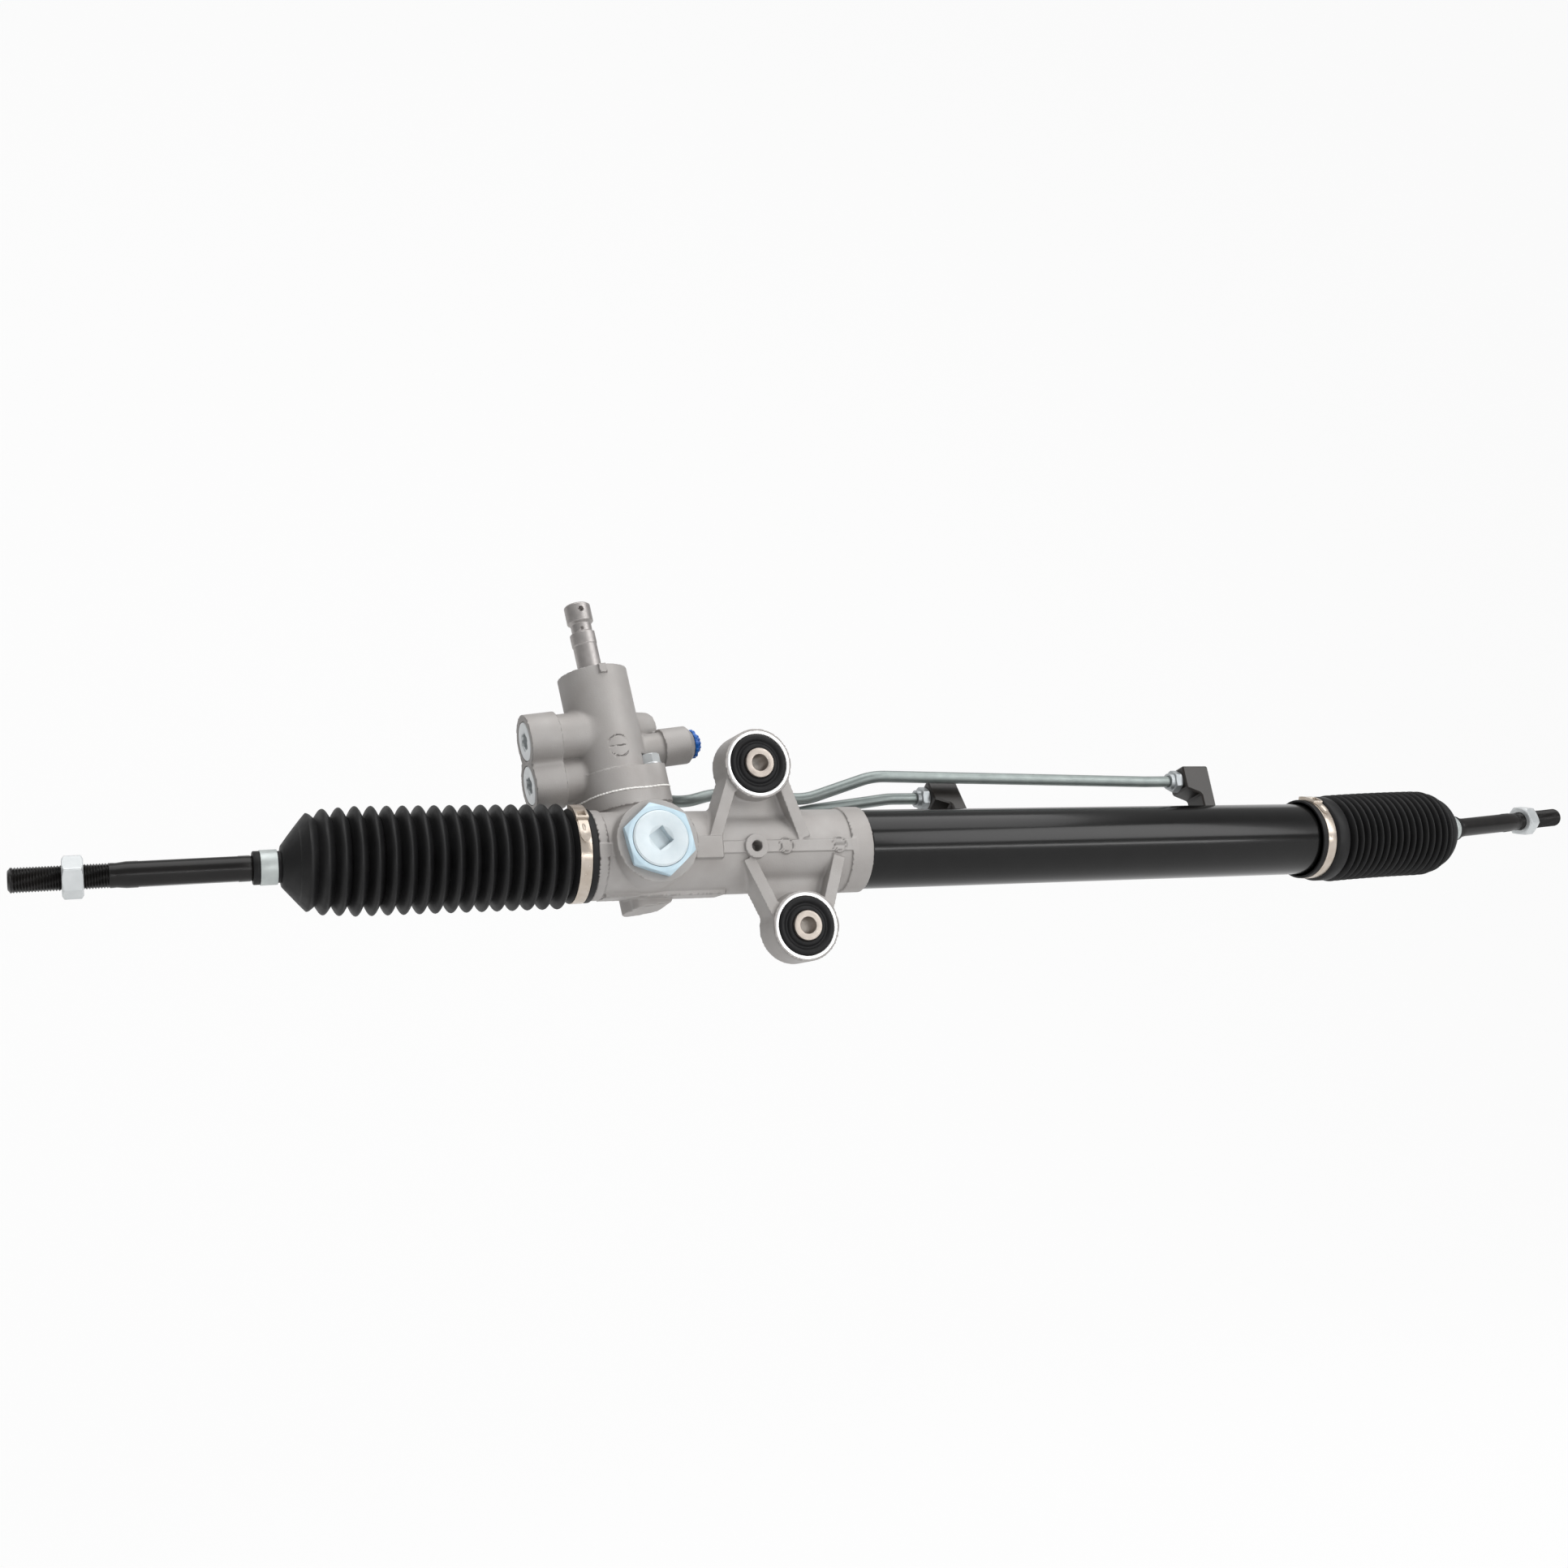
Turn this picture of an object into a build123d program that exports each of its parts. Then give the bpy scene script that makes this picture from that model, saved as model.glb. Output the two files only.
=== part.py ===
from build123d import *
import os
from math import acos, cos, pi, radians, sin, sqrt, tan

# Hydraulic rack and pinion steering gear, in millimetres.
# It is modelled about the rack's own axis: x runs along the rack to the right, y to the rear, z up,
# and x = 0 is the end face of the housing where the cylinder tube comes out.
# When it is written, the origin moves to the middle of the upper mounting bore.

# Rack housing, a casting
SEAT_RADIUS = 25.4
SEAT_END_X = -198.0
COLLAR_X = -181.0
COLLAR_RADIUS = 27.6
COLLAR_WIDTH = 6.0
BARREL_RADIUS = 26.4
FLANGE_RADIUS = 27.8
FLANGE_WIDTH = 15.0
STOP_BORE_RADIUS = 19.0
STOP_FACE_X = -178.0
RACK_BORE_RADIUS = 15.0
EDGE_BREAK = 1.0

# Flat strip along the front of the casting, with its pads
STRIP_FRONT = 27.6
STRIP_HEIGHT = 7.6
STRIP_END_X = -12.0
PAD_X = -112.0
PAD_WIDTH = 18.5
PAD_HEIGHT = 14.2
PAD_RAISE = 1.6
TAPPED_BOSS_X = -81.0
TAPPED_BOSS_RADIUS = 7.7
TAPPED_BOSS_RAISE = 2.2
TAPPED_HOLE_RADIUS = 3.4
TAPPED_HOLE_DEPTH = 12.0
ROUND_MARK_XS = (-60.6, -24.2)
ROUND_MARK_RADIUS = 5.2
ROUND_MARK_RAISE = 0.5

# Mounting bushes, on axes that run front to rear
UPPER_BUSH_X = -76.5
UPPER_BUSH_Z = 51.6
LOWER_BUSH_X = -52.0
LOWER_BUSH_Z = -50.5
BUSH_RING_RADIUS = 22.0
BUSH_FRONT_Y = -30.0
BUSH_LENGTH = 24.0
BUSH_RADIUS = 18.5
BUSH_OVERHANG = 1.2
BUSH_GROOVE_INNER = 12.0
BUSH_GROOVE_OUTER = 15.0
BUSH_GROOVE_DEPTH = 4.0
SLEEVE_RADIUS = 9.3
SLEEVE_OVERHANG = 3.0
MOUNT_BORE_RADIUS = 5.25
LEG_WIDTH = 7.8
LEG_FRONT_Y = -27.4
LEG_AIM_RADIUS = 12.5
WEB_FRONT_Y = -18.0
WEB_BACK_Y = -7.0
UPPER_LEG_XS = (-107.5, -47.7)
UPPER_LEG_Z = 5.0
LOWER_LEG_XS = (-86.0, -24.7)
LOWER_LEG_Z = -7.0

# Rack and pinion mesh; the pinion leans to the left, and the whole mechanism leans to the rear
MECHANISM_TILT = 6.0
PINION_LEAN = 7.4
PINION_X = -147.0
CENTRE_DISTANCE = 17.0
GEAR_MODULE = 1.9
PINION_TEETH = 8
PROFILE_SHIFT = 0.55
PRESSURE_ANGLE = 20.0
PINION_TIP_RADIUS = 10.0
BACKLASH = 0.16
PINION_FACE = 28.0
RACK_TOOTH_FIRST = -16
RACK_TOOTH_LAST = 11

# Rack bar and its piston
RACK_RADIUS = 12.5
LEFT_BALL_X = -284.0
RIGHT_BALL_X = 431.0
PISTON_X = 150.0
PISTON_WIDTH = 16.0
PISTON_CLEARANCE = 0.5
PISTON_RING_WIDTH = 5.0
PISTON_RING_DEPTH = 3.0
RUNNING_GAP = 0.15

# Inner ball joints and tie rods
BALL_RADIUS = 12.5
BALL_SEAT_WALL = 1.7
BALL_GAP = 0.3
BALL_SEAT_MOUTH = 6.0
SOCKET_RADIUS = 18.0
SOCKET_BACK = 24.0
SOCKET_LIP = 10.5
SOCKET_FLAT_ACROSS = 33.0
SOCKET_FLAT_LENGTH = 9.0
SOCKET_STUD_RADIUS = 7.0
SOCKET_STUD_LENGTH = 18.0
LOCK_WASHER_THICKNESS = 1.6
TIE_ROD_LENGTH = 217.0
TIE_ROD_RADIUS = 7.4
TIE_ROD_NECK_RADIUS = 6.0
TIE_ROD_NECK_END = 24.0
TIE_ROD_FLAT_ACROSS = 14.0
TIE_ROD_TAPER = 8.0
TIE_ROD_FLAT_MARGIN = 6.0
THREAD_LENGTH = 51.0
THREAD_RADIUS = 6.5
THREAD_ROOT_RADIUS = 6.0
THREAD_CHAMFER = 1.6
BOOT_GROOVE_RADIUS = 7.0
BOOT_GROOVE_MARGIN = 1.5
LEFT_LIFT = -1.6
LEFT_SWING = 0.0
RIGHT_LIFT = 4.3
RIGHT_SWING = 7.0
JAM_NUT_ACROSS = 21.0
JAM_NUT_THICKNESS = 11.0
JAM_NUT_TURN = 15.0
LEFT_FREE_THREAD = 26.5
RIGHT_FREE_THREAD = 34.5

# Bellows boots, clamped to the housing and clipped to the tie rods
BOOT_WALL = 1.3
BOOT_RIDGES = 17
RIDGE_RADIUS = 31.9
VALLEY_RADIUS = 25.6
END_RIDGE_RADIUS = 27.8
LEFT_RIDGE_NEAR_X = -200.6
LEFT_RIDGE_FAR_X = -347.0
RIGHT_RIDGE_NEAR_X = 387.0
RIGHT_RIDGE_FAR_X = 485.0
LEFT_BAND_X = -189.3
RIGHT_BAND_X = 366.8
RIGHT_COLLAR_RADIUS = 31.0
BAND_WIDTH = 7.8
BAND_THICKNESS = 0.8
BAND_EAR = 3.2
CUFF_WALL = 2.6
CUFF_RIM = 0.8
END_RIDGES = 3
LEFT_LIP_X = -181.6
RIGHT_LIP_X = 359.4
NECK_LIP = 92.0
NECK_LIP_WIDTH = 3.5
NECK_LIP_RADIUS = 9.6
NECK_RADIUS = 9.0
NECK_LENGTH = 14.5
NECK_BORE = 7.3
CLIP_WIDTH = 9.5
CLIP_THICKNESS = 0.8
CLIP_GAP = 0.3

# Cylinder tube
TUBE_RADIUS = 25.8
TUBE_BORE_RADIUS = 21.8
TUBE_NECK_RADIUS = 22.4
TUBE_NECK_BORE = 18.5
TUBE_NECK_LENGTH = 30.0
TUBE_STEP_X = 358.6
TUBE_END_X = 372.0
TUBE_END_RADIUS = 25.4
CYLINDER_START_X = 14.0
BUSHING_WIDTH = 14.0
INNER_SEAL_X = 2.5
INNER_SEAL_WIDTH = 8.0
BULKHEAD_LENGTH = 28.0
BULKHEAD_FACE_X = 355.0
BULKHEAD_CLEARANCE = 0.2
BULKHEAD_GROOVE_WIDTH = 3.0
BULKHEAD_GROOVE_DEPTH = 2.0
BULKHEAD_SEAL_RADIUS = 17.0
BULKHEAD_SEAL_WIDTH = 8.0
RETAINING_RING_WIDTH = 1.8
RETAINING_RING_OUTER = 23.0
RETAINING_RING_INNER = 19.0
RETAINING_RING_GAP = 8.0

# Rack guide with its spring, adjuster plug and locknut
GUIDE_RADIUS = 14.8
GUIDE_BORE_RADIUS = 15.0
GUIDE_SEAT_BACK = 4.0
GUIDE_LENGTH = 22.0
GUIDE_POCKET_RADIUS = 7.5
GUIDE_POCKET_DEPTH = 5.0
SPRING_RADIUS = 6.2
SPRING_WIRE_RADIUS = 1.1
SPRING_TURNS = 3
PLUG_RADIUS = 17.3
PLUG_BACK = 26.5
PLUG_FACE = 42.5
PLUG_POCKET_DEPTH = 4.0
SQUARE_DRIVE = 11.0
SQUARE_DRIVE_DEPTH = 6.0
SQUARE_DRIVE_TURN = 35.0
SQUARE_COUNTERSINK = 1.2
LOCKNUT_ACROSS = 40.0
LOCKNUT_BACK = 36.0
LOCKNUT_THICKNESS = 5.5
LOCKNUT_TURN = 41.5
ADJUSTER_BOSS_RADIUS = 25.6

# Pinion shaft and its bearings, along the pinion's axis from the mesh
LOWER_BOSS_RADIUS = 13.5
LOWER_BOSS_WIDTH = 27.0
LOWER_BOSS_OFFSET = 3.0
LOWER_BOSS_CORNER = 5.0
LOWER_BOSS_CUT = 6.0
LOWER_BOSS_END = -32.5
LOWER_JOURNAL_RADIUS = 7.0
LOWER_BEARING_RADIUS = 10.4
LOWER_BEARING_START = -27.0
LOWER_BEARING_LENGTH = 11.0
LOWER_JOURNAL_CLEARANCE = 1.0
LOWER_JOURNAL_ROOM = 3.0
PINION_BORE_RADIUS = 11.2
UPPER_JOURNAL_RADIUS = 8.5
UPPER_BEARING_RADIUS = 17.5
UPPER_BEARING_START = 22.0
UPPER_BEARING_LENGTH = 11.0
BEARING_RACE_WALL = 3.2
PINION_NECK_RADIUS = 21.5

# Valve: sleeve on the pinion, spool on the input shaft, torsion bar between them
VALVE_BORE_RADIUS = 15.8
VALVE_SLEEVE_RADIUS = 15.4
VALVE_SLEEVE_BORE = 11.0
VALVE_SLEEVE_START = 42.0
VALVE_SLEEVE_END = 94.0
SLEEVE_RING_COUNT = 4
SLEEVE_RING_WIDTH = 2.4
SLEEVE_RING_DEPTH = 1.2
SPOOL_RADIUS = 10.85
SPOOL_START = 50.0
SPOOL_GROOVES = 6
SPOOL_GROOVE_WIDTH = 3.0
SPOOL_GROOVE_DEPTH = 1.0
SPOOL_GROOVE_MARGIN = 8.0
TORSION_BAR_RADIUS = 2.6
TORSION_BAR_GAP = 0.3
TORSION_BAR_FIXED = 8.0
TORSION_PIN_RADIUS = 1.2
INPUT_SHAFT_RADIUS = 8.0
INPUT_SHAFT_END = 171.5
INPUT_HEAD_RADIUS = 8.5
INPUT_HEAD_LENGTH = 12.0
CLAMP_GROOVE_RADIUS = 6.6
CLAMP_GROOVE_LENGTH = 8.0
CLAMP_COLLAR_LENGTH = 8.0
INPUT_FLAT_OFFSET = 6.2
INPUT_BEARING_RADIUS = 12.0
INPUT_BEARING_START = 97.0
INPUT_BEARING_LENGTH = 12.0
INPUT_SEAL_RADIUS = 15.0
INPUT_SEAL_START = 110.0
INPUT_SEAL_LENGTH = 8.0

# Valve housing, a casting bolted to the rack housing
VALVE_HOUSING_RADIUS = 22.4
VALVE_HOUSING_TOP = 123.5
FLANGE_JOINT = 41.0
UPPER_FLANGE_THICKNESS = 15.0
LOWER_FLANGE_THICKNESS = 10.0
FLANGE_BODY_RADIUS = 23.2
FLANGE_BOLT_A = 21.5
FLANGE_BOLT_B = -11.0
FLANGE_EAR_RADIUS = 9.0
FLANGE_BOLT_RADIUS = 4.0
FLANGE_BOLT_LENGTH = 28.0
FLANGE_BOLT_HEAD_ACROSS = 12.0
FLANGE_BOLT_HEAD_HEIGHT = 6.0
FLANGE_BOLT_WASHER_RADIUS = 7.5
FLANGE_BOLT_WASHER_THICKNESS = 1.5
FLANGE_BOLT_HEAD_TURN = 27.0
FLANGE_BOLT_HEAD_ROOM = 1.0
LOCATING_NUB_WIDTH = 5.0

# Two large plugs in stacked bosses on the left of the valve housing
PLUG_BOSS_END = 54.0
PLUG_BOSS_STEP = 34.0
PLUG_BOSS_RADIUS = 16.8
PLUG_BOSS_NECK_RADIUS = 14.6
UPPER_PLUG_P = 84.0
LOWER_PLUG_P = 58.0
UPPER_PLUG_B = -4.6
LOWER_PLUG_B = 4.7
PORT_PLUG_RADIUS = 12.5
PORT_PLUG_DEPTH = 12.0
PORT_PLUG_DRIVE_RADIUS = 5.2
PORT_PLUG_DRIVE_DEPTH = 5.0

# Pressure port to the right, return port behind it, each with a plastic cap
PRESSURE_PORT_P = 70.0
PRESSURE_PORT_END = 56.0
PRESSURE_PORT_STEP = 34.5
PRESSURE_PORT_RADIUS = 12.3
PRESSURE_PORT_NECK_RADIUS = 10.2
PRESSURE_PORT_CHAMFER = 4.0
PORT_BORE_RADIUS = 6.0
PORT_BORE_DEPTH = 14.0
RETURN_PORT_P = 87.0
RETURN_PORT_AZIMUTH = 26.0
RETURN_PORT_END = 36.0
RETURN_PORT_RADIUS = 12.0
CAP_FLANGE_RADIUS = 9.2
CAP_FLANGE_THICKNESS = 2.0
CAP_KNOB_RADIUS = 5.6
CAP_KNOB_LENGTH = 3.0
CAP_TEETH = 12

# Pressure lines to the two ends of the cylinder
LINE_RADIUS = 4.0
FLARE_NUT_ACROSS = 14.0
FLARE_NUT_LENGTH = 8.5
FLARE_NUT_SHOULDER = 3.0
BLOCK_LENGTH = 22.0
BLOCK_DEPTH = 19.0
BLOCK_TOP = 8.6
BLOCK_LEFT_DROP = 7.8
BLOCK_DROP = 12.5
BLOCK_FOOT_LENGTH = 10.5
SHORT_BLOCK_X = 78.0
SHORT_BLOCK_ANGLE = 32.6
SHORT_BLOCK_RADIUS = 43.7
LONG_BLOCK_X = 275.0
LONG_BLOCK_ANGLE = 9.9
LONG_BLOCK_RADIUS = 45.5
LINE_SEAT_DEPTH = 5.0
LINE_BOSS_RADIUS = 9.5
LINE_BOSS_END = 31.0
LINE_TURN_REACH = 29.0
LINE_WIDE_BEND = 40.0
LOWER_LINE_PORT_A = 4.0
LOWER_LINE_PORT_P = 62.0
UPPER_LINE_PORT_A = 0.0
UPPER_LINE_PORT_P = 88.0

# Frames on the object
MIN_END = (Align.CENTER, Align.CENTER, Align.MIN)
MECHANISM = Plane((PINION_X, 0, 0), (1, 0, 0), (0, sin(radians(MECHANISM_TILT)), cos(radians(MECHANISM_TILT)))).location
PINION = MECHANISM * Pos(0, CENTRE_DISTANCE, 0) * Rot(0, -PINION_LEAN, 0)
ADJUSTER = MECHANISM * Rot(90, 0, 0)
RACK_AXIS = Rot(0, 90, 0)
HEX_FACE_SHARE = 0.95


def bar(frame, start, end, radius):
    """A solid cylinder along a frame's z axis, from start to end."""
    return frame * Pos(0, 0, start) * Cylinder(radius, end - start, align=MIN_END)


def ring(frame, start, end, outer, inner):
    """A straight ring along a frame's z axis, from start to end."""
    return bar(frame, start, end, outer) - bar(frame, start - 1, end + 1, inner)


def turned(points):
    """A solid turned about the rack's axis from (x, radius) points."""
    return revolve(make_face(Polyline(*points, close=True)), Axis.X)


def turned_on(frame, points):
    """A solid turned about a frame's z axis from (z, radius) points."""
    outline = Polyline(*[(r, 0, z) for z, r in points], close=True)
    return frame * revolve(make_face(outline), Axis.Z)


def hexagon(frame, start, end, across):
    """A hexagonal prism with its corners turned off at both ends, as on a nut."""
    prism = frame * Pos(0, 0, start) * extrude(RegularPolygon(across / 2, 6, major_radius=False), end - start)
    corner, face = across / sqrt(3), across / 2 * HEX_FACE_SHARE
    turn = (corner - face) * 0.55
    shape = [(start, 0), (start, face), (start + turn, corner + 0.01), (end - turn, corner + 0.01), (end, face), (end, 0)]
    return prism & turned_on(frame, shape)


def slab(face_points, front, back):
    """A flat plate between two depths, from (x, z) points."""
    face = make_face(Polyline(*[(x, front, z) for x, z in face_points], close=True))
    return extrude(face, back - front, dir=(0, 1, 0))


# Rack housing


def leg_line(base, centre, side):
    """Start and end of a leg's middle line, which runs past the bush's centre on the given side."""
    away = Vector(centre[0] - base[0], centre[1] - base[1])
    reach = away.length
    offset = LEG_AIM_RADIUS / reach
    along = away.rotate(Axis.Z, side * acos(sqrt(1 - offset ** 2)) * 180 / pi).normalized()
    tip = Vector(*base) + along * sqrt(reach ** 2 - LEG_AIM_RADIUS ** 2)
    return Vector(*base), tip, along


def mounting_arm(centre, base_xs, base_z):
    """One mounting eye on its two legs, with the recessed web between them."""
    up = 1 if centre[1] > 0 else -1
    eye_frame = Plane((centre[0], BUSH_FRONT_Y, centre[1]), (1, 0, 0), (0, 1, 0)).location
    arm = chamfer(bar(eye_frame, 0, BUSH_LENGTH, BUSH_RING_RADIUS).edges().group_by(Axis.Y)[0], EDGE_BREAK / 2)
    corners = []
    for base_x, side in zip(base_xs, (up, -up)):
        base, tip, along = leg_line((base_x, base_z), centre, side)
        across = Vector(-along.Y, along.X) * (LEG_WIDTH / 2)
        outline = [base + across, tip + across, tip - across, base - across]
        arm += slab([(p.X, p.Y) for p in outline], LEG_FRONT_Y, WEB_BACK_Y)
        corners.append((base, tip))
    (left, left_tip), (right, right_tip) = corners
    arm += slab([(p.X, p.Y) for p in (left, left_tip, right_tip, right)], WEB_FRONT_Y, WEB_BACK_Y)
    return arm


def bush_bore(centre):
    frame = Plane((centre[0], BUSH_FRONT_Y, centre[1]), (1, 0, 0), (0, 1, 0)).location
    return bar(frame, -BUSH_OVERHANG * 2, BUSH_LENGTH + 2, BUSH_RADIUS)


def front_strip():
    """The flat strip on the parting line, its pad, the tapped boss and two round marks."""
    back = -BARREL_RADIUS + 8
    def box(x0, x1, height, front):
        return slab([(x0, -height / 2), (x0, height / 2), (x1, height / 2), (x1, -height / 2)], front, back)
    strip = box(COLLAR_X, STRIP_END_X, STRIP_HEIGHT, -STRIP_FRONT)
    strip += box(PAD_X - PAD_WIDTH / 2, PAD_X + PAD_WIDTH / 2, PAD_HEIGHT, -STRIP_FRONT - PAD_RAISE)
    discs = [(TAPPED_BOSS_X, TAPPED_BOSS_RADIUS, TAPPED_BOSS_RAISE)]
    discs += [(x, ROUND_MARK_RADIUS, ROUND_MARK_RAISE) for x in ROUND_MARK_XS]
    for x, radius, rise in discs:
        strip += bar(Plane((x, back, 0), (1, 0, 0), (0, -1, 0)).location, 0, STRIP_FRONT + rise + back, radius)
    return strip


def flange_outline():
    """Outline shared by both flanges of the valve joint: a round body with an ear at each bolt."""
    shape = Circle(FLANGE_BODY_RADIUS)
    for sign in (1, -1):
        ear = Pos(sign * FLANGE_BOLT_A, sign * FLANGE_BOLT_B) * Circle(FLANGE_EAR_RADIUS)
        inner = Circle(FLANGE_BODY_RADIUS * 0.8)
        shape += make_hull(ear.edges() + inner.edges())
    return shape


def flange_bolt_frames():
    return [PINION * Pos(s * FLANGE_BOLT_A, s * FLANGE_BOLT_B, FLANGE_JOINT) for s in (1, -1)]


def lower_boss():
    """Boss round the pinion's lower bearing: round behind, with a flat front and one corner cut off."""
    side = LOWER_BOSS_OFFSET + LOWER_BOSS_WIDTH / 2
    front = RectangleRounded(LOWER_BOSS_WIDTH, LOWER_BOSS_WIDTH, LOWER_BOSS_CORNER)
    outline = Circle(LOWER_BOSS_RADIUS) + Pos(LOWER_BOSS_OFFSET, -LOWER_BOSS_OFFSET) * front
    boss = Pos(0, 0, LOWER_BOSS_END) * extrude(outline, -LOWER_BOSS_END)
    boss = chamfer(boss.faces().sort_by(Axis.Z)[0].edges(), EDGE_BREAK)
    corner = Box(sqrt(2) * LOWER_BOSS_CUT, 2 * LOWER_BOSS_WIDTH, sqrt(2) * LOWER_BOSS_CUT)
    return PINION * (boss - Pos(side, 0, LOWER_BOSS_END) * Rot(0, 45, 0) * corner)


def rack_housing():
    flange_x = -FLANGE_WIDTH
    body = turned([
        (SEAT_END_X, 0), (SEAT_END_X, SEAT_RADIUS - EDGE_BREAK), (SEAT_END_X + EDGE_BREAK, SEAT_RADIUS),
        (COLLAR_X, SEAT_RADIUS), (COLLAR_X, COLLAR_RADIUS), (COLLAR_X + COLLAR_WIDTH, COLLAR_RADIUS),
        (COLLAR_X + COLLAR_WIDTH + 2, BARREL_RADIUS), (flange_x - 2, BARREL_RADIUS), (flange_x, FLANGE_RADIUS),
        (-EDGE_BREAK, FLANGE_RADIUS), (0, FLANGE_RADIUS - EDGE_BREAK), (0, 0),
    ])
    body += chamfer(bar(ADJUSTER, 0, LOCKNUT_BACK, ADJUSTER_BOSS_RADIUS).edges().sort_by(Axis.Y)[0], EDGE_BREAK)
    body += lower_boss()
    body += bar(PINION, 0, FLANGE_JOINT, PINION_NECK_RADIUS)
    body += PINION * Pos(0, 0, FLANGE_JOINT - LOWER_FLANGE_THICKNESS) * extrude(flange_outline(), LOWER_FLANGE_THICKNESS)
    body += mounting_arm((UPPER_BUSH_X, UPPER_BUSH_Z), UPPER_LEG_XS, UPPER_LEG_Z)
    body += mounting_arm((LOWER_BUSH_X, LOWER_BUSH_Z), LOWER_LEG_XS, LOWER_LEG_Z)
    body += front_strip()
    body -= bar(RACK_AXIS, SEAT_END_X - 1, STOP_FACE_X, STOP_BORE_RADIUS)
    body -= bar(RACK_AXIS, STOP_FACE_X - 1, -TUBE_NECK_LENGTH, RACK_BORE_RADIUS)
    body -= bar(RACK_AXIS, -TUBE_NECK_LENGTH, 1, TUBE_NECK_RADIUS)
    body -= bar(ADJUSTER, 0, PLUG_FACE, GUIDE_BORE_RADIUS)
    body -= bar(ADJUSTER, PLUG_BACK, PLUG_FACE, PLUG_RADIUS)
    body -= bar(PINION, -PINION_FACE / 2 - 1, UPPER_BEARING_START, PINION_BORE_RADIUS)
    body -= bar(PINION, LOWER_BEARING_START, 0, LOWER_BEARING_RADIUS)
    body -= bar(PINION, LOWER_BEARING_START - LOWER_JOURNAL_ROOM, 0, LOWER_JOURNAL_RADIUS + LOWER_JOURNAL_CLEARANCE)
    body -= bar(PINION, UPPER_BEARING_START, FLANGE_JOINT + 1, UPPER_BEARING_RADIUS)
    tapped = Plane((TAPPED_BOSS_X, -STRIP_FRONT - TAPPED_BOSS_RAISE, 0), (1, 0, 0), (0, 1, 0)).location
    body -= bar(tapped, -1, TAPPED_HOLE_DEPTH, TAPPED_HOLE_RADIUS)
    for bolt in flange_bolt_frames():
        body -= bar(bolt, -(FLANGE_BOLT_LENGTH - UPPER_FLANGE_THICKNESS), 1, FLANGE_BOLT_RADIUS)
    for centre in ((UPPER_BUSH_X, UPPER_BUSH_Z), (LOWER_BUSH_X, LOWER_BUSH_Z)):
        body -= bush_bore(centre)
    return body


def bushing_rubber(centre):
    """Rubber bush bonded round the sleeve, with a shallow annular groove in each face."""
    frame = Plane((centre[0], BUSH_FRONT_Y, centre[1]), (1, 0, 0), (0, 1, 0)).location
    start, end = -BUSH_OVERHANG, BUSH_LENGTH + BUSH_OVERHANG
    depth = BUSH_GROOVE_DEPTH
    face = [
        (start, SLEEVE_RADIUS), (start, BUSH_GROOVE_INNER), (start + depth, BUSH_GROOVE_INNER + 1),
        (start + depth, BUSH_GROOVE_OUTER - 1), (start, BUSH_GROOVE_OUTER), (start, BUSH_RADIUS - EDGE_BREAK),
        (start + EDGE_BREAK, BUSH_RADIUS), (end - EDGE_BREAK, BUSH_RADIUS), (end, BUSH_RADIUS - EDGE_BREAK),
        (end, BUSH_GROOVE_OUTER), (end - depth, BUSH_GROOVE_OUTER - 1), (end - depth, BUSH_GROOVE_INNER + 1),
        (end, BUSH_GROOVE_INNER), (end, SLEEVE_RADIUS),
    ]
    return turned_on(frame, face)


def bushing_sleeve(centre):
    frame = Plane((centre[0], BUSH_FRONT_Y, centre[1]), (1, 0, 0), (0, 1, 0)).location
    return ring(frame, -SLEEVE_OVERHANG, BUSH_LENGTH + SLEEVE_OVERHANG, SLEEVE_RADIUS, MOUNT_BORE_RADIUS)


# Rack guide and adjuster


def rack_guide():
    """Yoke that presses the rack into mesh: its back is a saddle that fits the bar."""
    end = GUIDE_SEAT_BACK + GUIDE_LENGTH
    yoke = bar(ADJUSTER, GUIDE_SEAT_BACK, end, GUIDE_RADIUS)
    yoke -= bar(RACK_AXIS, PINION_X - GUIDE_BORE_RADIUS - 1, PINION_X + GUIDE_BORE_RADIUS + 1, RACK_RADIUS + RUNNING_GAP)
    return yoke - bar(ADJUSTER, end - GUIDE_POCKET_DEPTH, end + 1, GUIDE_POCKET_RADIUS)


def guide_spring():
    """Coil spring between the yoke and the plug, as closed turns stacked on its axis."""
    start = GUIDE_SEAT_BACK + GUIDE_LENGTH - GUIDE_POCKET_DEPTH + SPRING_WIRE_RADIUS
    end = PLUG_BACK + PLUG_POCKET_DEPTH - SPRING_WIRE_RADIUS
    pitch = (end - start) / SPRING_TURNS
    coil = Helix(pitch, end - start, SPRING_RADIUS)
    section = Plane(coil @ 0, z_dir=coil % 0) * Circle(SPRING_WIRE_RADIUS)
    return ADJUSTER * Pos(0, 0, start) * sweep(section, path=coil, is_frenet=True)


def adjuster_plug():
    plug = bar(ADJUSTER, PLUG_BACK, PLUG_FACE, PLUG_RADIUS)
    plug = chamfer(plug.edges().sort_by(Axis.Y)[0], EDGE_BREAK / 2)
    plug -= bar(ADJUSTER, PLUG_BACK - 1, PLUG_BACK + PLUG_POCKET_DEPTH, GUIDE_POCKET_RADIUS)
    recess = Box(SQUARE_DRIVE, SQUARE_DRIVE, SQUARE_DRIVE_DEPTH + 1, align=MIN_END)
    plug -= ADJUSTER * Pos(0, 0, PLUG_FACE - SQUARE_DRIVE_DEPTH) * Rot(0, 0, SQUARE_DRIVE_TURN) * recess
    corner = SQUARE_DRIVE / sqrt(2)
    return plug - turned_on(ADJUSTER, [
        (PLUG_FACE - SQUARE_COUNTERSINK, 0), (PLUG_FACE - SQUARE_COUNTERSINK, SQUARE_DRIVE / 2),
        (PLUG_FACE, corner), (PLUG_FACE + 1, corner), (PLUG_FACE + 1, 0),
    ])


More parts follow.
